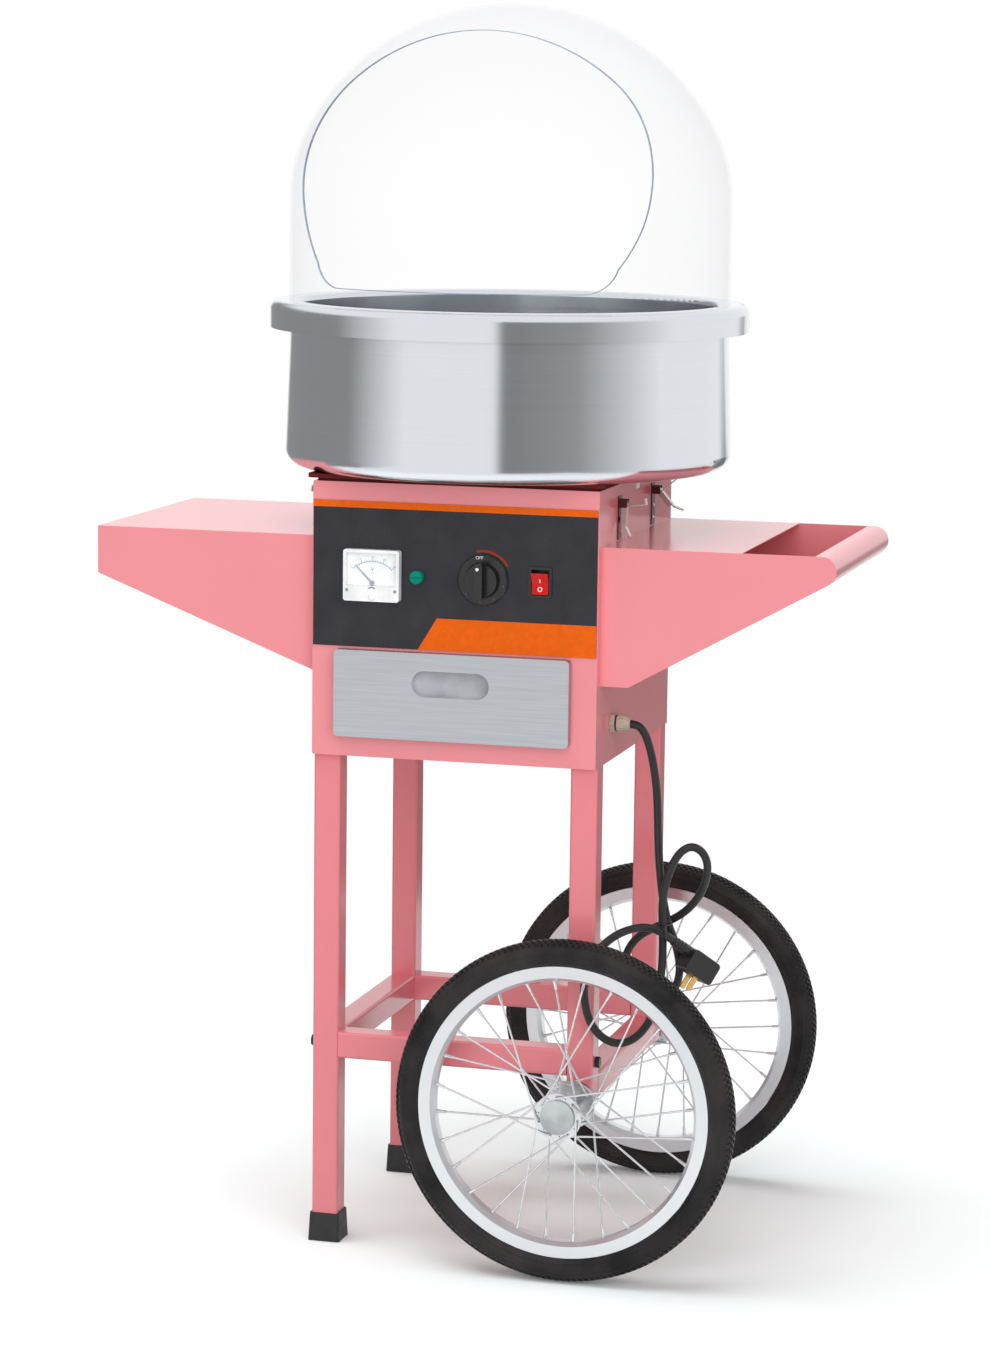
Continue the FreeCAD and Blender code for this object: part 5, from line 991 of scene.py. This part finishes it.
def make_spinner():
    """Turned head with its heater ring, the spindle, and the motor under the case top."""
    shade_of = colours()
    finish_node(turned_metal("head_turned_alloy", shade_of.alloy, "Z", roughness=0.22, anisotropy=0.4,
                             grain=(6.0, 6.0, 900.0)), "spinner_pan", "spinner_lid")
    finish_node(turned_metal("heater_band", shade(shade_of.alloy, 0.8), "Z", roughness=0.3,
                             anisotropy=0.3), "heater_ring")
    finish_node(brushed("spindle_steel", shade(shade_of.steel, 0.85), grain=(300.0, 300.0, 40.0),
                        roughness=0.2).material, "spinner_shaft")
    finish_node(powder_coat("motor_grey", (0.11, 0.115, 0.12), roughness=0.3), "motor")


# ---- latches and gland ------------------------------------------------------------------------

LATCHES = (("front_left", -1), ("back_left", -1), ("front_right", 1), ("back_right", 1))
RIVET = ((0.0, 1.3), (1.3, 1.1), (2.3, 0.5), (2.6, 0.0), (0.0, 0.0))
RIVET_HEIGHTS = (812.0 * MM, 826.0 * MM)
BRACKET_SHEET = 1.2 * MM


def make_latches():
    """Latch levers and the rivets that hold their brackets."""
    zinc = brushed("latch_zinc", (0.62, 0.61, 0.58), grain=(200.0, 200.0, 200.0),
                   roughness=0.34).material
    finish_node(zinc, "bowl_catches", *[f"latch_lever_{name}" for name, _ in LATCHES])
    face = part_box("case_wrap")[1].x + BRACKET_SHEET
    for name, side in LATCHES:
        middle = corners(f"latch_lever_{name}")[2]
        profile = [(radius, side * along) for radius, along in in_mm(RIVET)]
        shape = bmesh.new()
        for height in RIVET_HEIGHTS:
            lathe(shape, profile, 20, (side * face, middle.y, height), "X", closed=False)
        mesh_piece(f"latch_rivets_{name}", shape, zinc, "cart")


GLAND_BORE, GLAND_HEXAGON, GLAND_FLANGE = 4.6 * MM, 11.3 * MM, 5.4 * MM
GLAND_NECK, GLAND_NECK_END = 8.4 * MM, 7.4 * MM
GLAND_WASHER = ((4.6, 6.0), (9.0, 6.0), (9.4, 6.8), (9.0, 7.6), (4.6, 7.6))
GLAND_NUT = (
    # place along the lead, radius, depth of the grooves there
    (7.7, 9.6, 0.0), (8.2, 9.9, 0.5), (15.5, 9.9, 0.5), (17.0, 9.4, 0.3),
    (20.5, 7.6, 0.0), (22.3, 6.2, 0.0), (22.5, 4.7, 0.0), (7.7, 4.7, 0.0),
)
GLAND_RIBS, RIB_STEPS, GROOVE_STEPS = 14, 6, (1, 2)


def make_gland():
    """Cable gland: wall hexagon, dark washer, and a ribbed nut that narrows to the lead."""
    shade_of = colours()
    nylon = moulded("gland_nylon", shade_of.gland, roughness=0.4)
    middle = corners("cable_gland")[2]
    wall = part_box("case_wrap")[1].x
    place = Vector((wall, middle.y, middle.z))
    shape = bmesh.new()
    turns = [math.pi / 3 * step for step in range(6)]
    slab(shape, [(place.y + GLAND_HEXAGON * math.cos(turn), place.z + GLAND_HEXAGON * math.sin(turn))
                 for turn in turns], wall, wall + GLAND_FLANGE, "YZ")
    lathe(shape, rectangle(GLAND_BORE, GLAND_FLANGE, GLAND_NECK, GLAND_NECK_END), 32, place, "X")
    body = mesh_piece("gland_body", shape, nylon, "cart")
    soften(body, 0.5 * MM)
    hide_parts("cable_gland")
    shape = bmesh.new()
    lathe(shape, in_mm(GLAND_WASHER), 40, place, "X")
    mesh_piece("gland_washer", shape, moulded("washer_black", shade_of.black, roughness=0.5), "cart")
    shape = bmesh.new()
    steps = GLAND_RIBS * RIB_STEPS
    rings = []
    for along, radius, groove in in_mm(GLAND_NUT):
        rings.append([shape.verts.new(turned_point(
            place, "X", radius - (groove if step % RIB_STEPS in GROOVE_STEPS else 0.0),
            2 * math.pi * step / steps, along)) for step in range(steps)])
    skin(shape, rings, closed=True)
    mesh_piece("gland_nut", shape, nylon, "cart", 25.0)


# ---- stage ------------------------------------------------------------------------------------

SUNS = (
    # name, way towards the sun, light that it gives a face square to it, width in degrees
    ("key_sun", (-0.22, -0.06, 0.97), 0.70, 52.0),
    ("front_sun", (0.40, -0.88, 0.26), 0.76, 80.0),
)
SKY_LIGHT = 0.26
FLOOR_REACH, FLOOR_DROP = 1.7, 0.6 * MM
FLOOR_TONE, FLOOR_GLOW, FLOOR_BOUNCE = (0.93, 0.97, 0.97), 0.07, 0.45
FLOOR_FADE = (0.75, 1.5)
REFLECTED_RING = (
    # degrees round from the front towards the handle, and the level of the studio wall there:
    # the background's white, with a grey card at the left and one at the front right
    (-180, 1.0), (-156, 1.0), (-148, 0.3), (-75, 0.3), (-40, 1.0),
    (8, 1.0), (12, 0.25), (50, 0.35), (100, 1.0), (180, 1.0),
)
CEILING, WALL_TOP = 1.0, (0.22, 0.48)
# a small dark card behind the handle's side: the way to it, where it starts and is full, its level
CARD_WAY, CARD_SPREAD, CARD_LEVEL = (0.25, 0.94, -0.23), (13.0, 7.0), 0.2


class Wiring:
    """Puts nodes into a tree and joins them: an input is a number, a colour or a socket."""

    def __init__(self, tree):
        self.tree = tree
        tree.nodes.clear()

    def node(self, kind, inputs=(), **settings):
        node = self.tree.nodes.new(kind)
        for key, value in settings.items():
            setattr(node, key, value)
        for key, value in dict(inputs).items():
            if isinstance(value, bpy.types.NodeSocket):
                self.tree.links.new(value, node.inputs[key])
            else:
                node.inputs[key].default_value = value
        return node

    def math(self, operation, first, second=0.0):
        return self.node("ShaderNodeMath", {0: first, 1: second}, operation=operation).outputs[0]

    def ease(self, value, low, high):
        """Goes softly from 0 to 1 while the value goes from low to high."""
        return self.node("ShaderNodeMapRange", {"Value": value, "From Min": low, "From Max": high},
                         interpolation_type="SMOOTHSTEP").outputs["Result"]

    def blend(self, share, colour, level):
        """Goes from a colour to a grey level."""
        return self.node("ShaderNodeMix", {"Factor": share, "A": colour, "B": (level, level, level, 1)},
                         data_type="RGBA").outputs["Result"]

    def light(self, colour, strength=1.0):
        return self.node("ShaderNodeBackground", {"Color": colour, "Strength": strength}).outputs[0]

    def either(self, share, first, second):
        return self.node("ShaderNodeMixShader", {0: share, 1: first, 2: second}).outputs[0]

    def direct(self, path):
        """One for rays that look at or through something, which see the plain white studio."""
        return self.math("MAXIMUM", path.outputs["Is Camera Ray"], path.outputs["Is Transmission Ray"])


def make_lamps():
    """Broad soft suns, so that near and far faces get the same light."""
    for name, way, light, width in SUNS:
        sun = bpy.data.lights.new(name, "SUN")
        sun.angle = math.radians(width)
        sun.energy = light * math.pi
        holder = bpy.data.objects.new(name, sun)
        bpy.context.scene.collection.objects.link(holder)
        holder.matrix_world = Vector(way).to_track_quat("Z", "Y").to_matrix().to_4x4()
        holder.visible_glossy = False


def make_world():
    """White behind the object, soft light on it, and grey cards in the white for the metal."""
    world = bpy.data.worlds.new("studio")
    bpy.context.scene.world = world
    world.use_nodes = True
    wires = Wiring(world.node_tree)
    way = wires.node("ShaderNodeTexCoord").outputs["Generated"]
    split = wires.node("ShaderNodeSeparateXYZ", {"Vector": way}).outputs
    angle = wires.math("ARCTAN2", split["X"], wires.math("MULTIPLY", split["Y"], -1.0))
    turn = wires.node("ShaderNodeMapRange", {"Value": angle, "From Min": -math.pi, "From Max": math.pi})
    ramp = wires.node("ShaderNodeValToRGB", {"Fac": turn.outputs["Result"]})
    stops = ramp.color_ramp.elements
    stops.remove(stops[-1])
    for index, (degrees, level) in enumerate(REFLECTED_RING):
        place = 0.5 + degrees / 360.0
        stop = stops.new(place) if index else stops[0]
        stop.position = place
        stop.color = (level, level, level, 1.0)
    wall = wires.blend(wires.ease(split["Z"], *WALL_TOP), ramp.outputs["Color"], CEILING)
    near = wires.node("ShaderNodeVectorMath", {0: way, 1: Vector(CARD_WAY).normalized()},
                      operation="DOT_PRODUCT").outputs["Value"]
    outer, inner = (math.cos(math.radians(spread)) for spread in CARD_SPREAD)
    wall = wires.blend(wires.ease(near, outer, inner), wall, CARD_LEVEL)
    path = wires.node("ShaderNodeLightPath")
    lit = wires.either(path.outputs["Is Glossy Ray"], wires.light((1, 1, 1, 1), SKY_LIGHT),
                       wires.light(wall))
    seen = wires.either(wires.direct(path), lit, wires.light((1, 1, 1, 1)))
    wires.node("ShaderNodeOutputWorld", {"Surface": seen})


def make_floor():
    """Pale floor that keeps the object's soft shadow and fades into the white round it."""
    shape = bmesh.new()
    outline = rectangle(-FLOOR_REACH, -FLOOR_REACH, FLOOR_REACH, FLOOR_REACH)
    shape.faces.new([shape.verts.new((x, y, -FLOOR_DROP)) for x, y in outline])
    mesh = bpy.data.meshes.new("floor")
    shape.to_mesh(mesh)
    shape.free()
    material = bpy.data.materials.new("floor_pale")
    material.use_nodes = True
    material.cycles.emission_sampling = "NONE"
    wires = Wiring(material.node_tree)
    path = wires.node("ShaderNodeLightPath")
    place = wires.node("ShaderNodeTexCoord").outputs["Object"]
    away = wires.node("ShaderNodeVectorMath", {0: place}, operation="LENGTH").outputs["Value"]
    matt = wires.node("ShaderNodeBsdfDiffuse", {"Color": (*FLOOR_TONE, 1)})
    glow = wires.node("ShaderNodeEmission", {"Strength": FLOOR_GLOW})
    near = wires.node("ShaderNodeAddShader", {0: matt.outputs[0], 1: glow.outputs[0]}).outputs[0]
    white = wires.node("ShaderNodeEmission", {"Strength": 1.0}).outputs[0]
    seen = wires.either(wires.ease(away, *FLOOR_FADE), near, white)
    dull = wires.node("ShaderNodeBsdfDiffuse", {"Color": (*[FLOOR_BOUNCE] * 3, 1)}).outputs[0]
    shown = wires.math("MAXIMUM", wires.direct(path), path.outputs["Is Glossy Ray"])
    wires.node("ShaderNodeOutputMaterial", {"Surface": wires.either(shown, dull, seen)})
    mesh.materials.append(material)
    floor = bpy.data.objects.new("floor", mesh)
    bpy.context.scene.collection.objects.link(floor)


# ---- operators and panel ----------------------------------------------------------------------

class CART_OT_camera(bpy.types.Operator):
    """Sets the camera that looks at the cart from the front right"""
    bl_idname = "cart.camera"
    bl_label = "Camera"

    def execute(self, context):
        make_camera()
        return {"FINISHED"}


class CART_OT_lead(bpy.types.Operator):
    """Lays the mains lead with its tie and its plug"""
    bl_idname = "cart.lead"
    bl_label = "Mains lead"

    def execute(self, context):
        make_lead()
        return {"FINISHED"}


class CART_OT_stage(bpy.types.Operator):
    """Sets up the floor, the lamps and the light around"""
    bl_idname = "cart.stage"
    bl_label = "Stage"

    def execute(self, context):
        make_floor()
        make_lamps()
        make_world()
        context.scene.view_settings.view_transform = "Standard"
        return {"FINISHED"}


class CART_OT_stand(bpy.types.Operator):
    """Paints the tube stand and finishes its feet and bolts"""
    bl_idname = "cart.stand"
    bl_label = "Stand"

    def execute(self, context):
        make_stand()
        return {"FINISHED"}


class CART_OT_wheels(bpy.types.Operator):
    """Makes the treaded tyres and nipples and finishes rims, hubs and spokes"""
    bl_idname = "cart.wheels"
    bl_label = "Wheels"

    def execute(self, context):
        make_wheels()
        return {"FINISHED"}


class CART_OT_case(bpy.types.Operator):
    """Paints the case, the wings and the base plate, whose dark red holds painted shade"""
    bl_idname = "cart.case"
    bl_label = "Case and wings"

    def execute(self, context):
        make_case()
        return {"FINISHED"}


class CART_OT_panel(bpy.types.Operator):
    """Prints the bands and the heat arc on the control panel"""
    bl_idname = "cart.panel"
    bl_label = "Control panel"

    def execute(self, context):
        make_panel()
        return {"FINISHED"}


class CART_OT_voltmeter(bpy.types.Operator):
    """Makes the voltmeter's dial, scale, cover and screws"""
    bl_idname = "cart.voltmeter"
    bl_label = "Voltmeter"

    def execute(self, context):
        make_voltmeter()
        return {"FINISHED"}


class CART_OT_knob(bpy.types.Operator):
    """Finishes the heat knob and prints its marks"""
    bl_idname = "cart.knob"
    bl_label = "Heat knob"

    def execute(self, context):
        make_knob()
        return {"FINISHED"}


class CART_OT_fuse_cap(bpy.types.Operator):
    """Finishes the fuse cap"""
    bl_idname = "cart.fuse_cap"
    bl_label = "Fuse cap"

    def execute(self, context):
        make_fuse_cap()
        return {"FINISHED"}


class CART_OT_switch(bpy.types.Operator):
    """Finishes the rocker switch and prints its marks"""
    bl_idname = "cart.switch"
    bl_label = "Rocker switch"

    def execute(self, context):
        make_switch()
        return {"FINISHED"}


class CART_OT_drawer(bpy.types.Operator):
    """Brushes the drawer and puts a cup behind its finger slot"""
    bl_idname = "cart.drawer"
    bl_label = "Drawer"

    def execute(self, context):
        make_drawer()
        return {"FINISHED"}


class CART_OT_bowl(bpy.types.Operator):
    """Finishes the spun bowl"""
    bl_idname = "cart.bowl"
    bl_label = "Bowl"

    def execute(self, context):
        make_bowl()
        return {"FINISHED"}


class CART_OT_dome(bpy.types.Operator):
    """Makes the dome clear and lays the dark cut edge round its mouth"""
    bl_idname = "cart.dome"
    bl_label = "Dome"

    def execute(self, context):
        make_dome()
        return {"FINISHED"}


class CART_OT_spinner(bpy.types.Operator):
    """Finishes the spinner head, its spindle and its motor"""
    bl_idname = "cart.spinner"
    bl_label = "Spinner"

    def execute(self, context):
        make_spinner()
        return {"FINISHED"}


class CART_OT_latches(bpy.types.Operator):
    """Finishes the latch levers and rivets their brackets"""
    bl_idname = "cart.latches"
    bl_label = "Latches"

    def execute(self, context):
        make_latches()
        return {"FINISHED"}


class CART_OT_gland(bpy.types.Operator):
    """Makes the ribbed cable gland"""
    bl_idname = "cart.gland"
    bl_label = "Cable gland"

    def execute(self, context):
        make_gland()
        return {"FINISHED"}


OPERATORS = (CART_OT_camera, CART_OT_lead, CART_OT_stage, CART_OT_stand, CART_OT_wheels,
             CART_OT_case, CART_OT_panel, CART_OT_voltmeter, CART_OT_knob, CART_OT_fuse_cap,
             CART_OT_switch, CART_OT_drawer, CART_OT_bowl, CART_OT_dome, CART_OT_spinner,
             CART_OT_latches, CART_OT_gland)


class CART_PT_panel(bpy.types.Panel):
    """Lists the pieces of the cart and its sizes and colours"""
    bl_label = "Cotton candy cart"
    bl_idname = "CART_PT_panel"
    bl_space_type = "VIEW_3D"
    bl_region_type = "UI"
    bl_category = "Cart"

    def draw(self, context):
        for group in (context.scene.cart_sizes, context.scene.cart_colours):
            for name in group.__annotations__:
                self.layout.prop(group, name)
        for operator in OPERATORS:
            self.layout.operator(operator.bl_idname)


CLASSES = (CartColours, CartSizes, *OPERATORS, CART_PT_panel)


def register():
    for cls in CLASSES:
        bpy.utils.register_class(cls)
    bpy.types.Scene.cart_colours = bpy.props.PointerProperty(type=CartColours)
    bpy.types.Scene.cart_sizes = bpy.props.PointerProperty(type=CartSizes)


def unregister():
    del bpy.types.Scene.cart_sizes
    del bpy.types.Scene.cart_colours
    for cls in reversed(CLASSES):
        bpy.utils.unregister_class(cls)


def main():
    register()
    for operator in OPERATORS:
        group, name = operator.bl_idname.split(".")
        getattr(getattr(bpy.ops, group), name)()


if __name__ == "__main__":
    main()
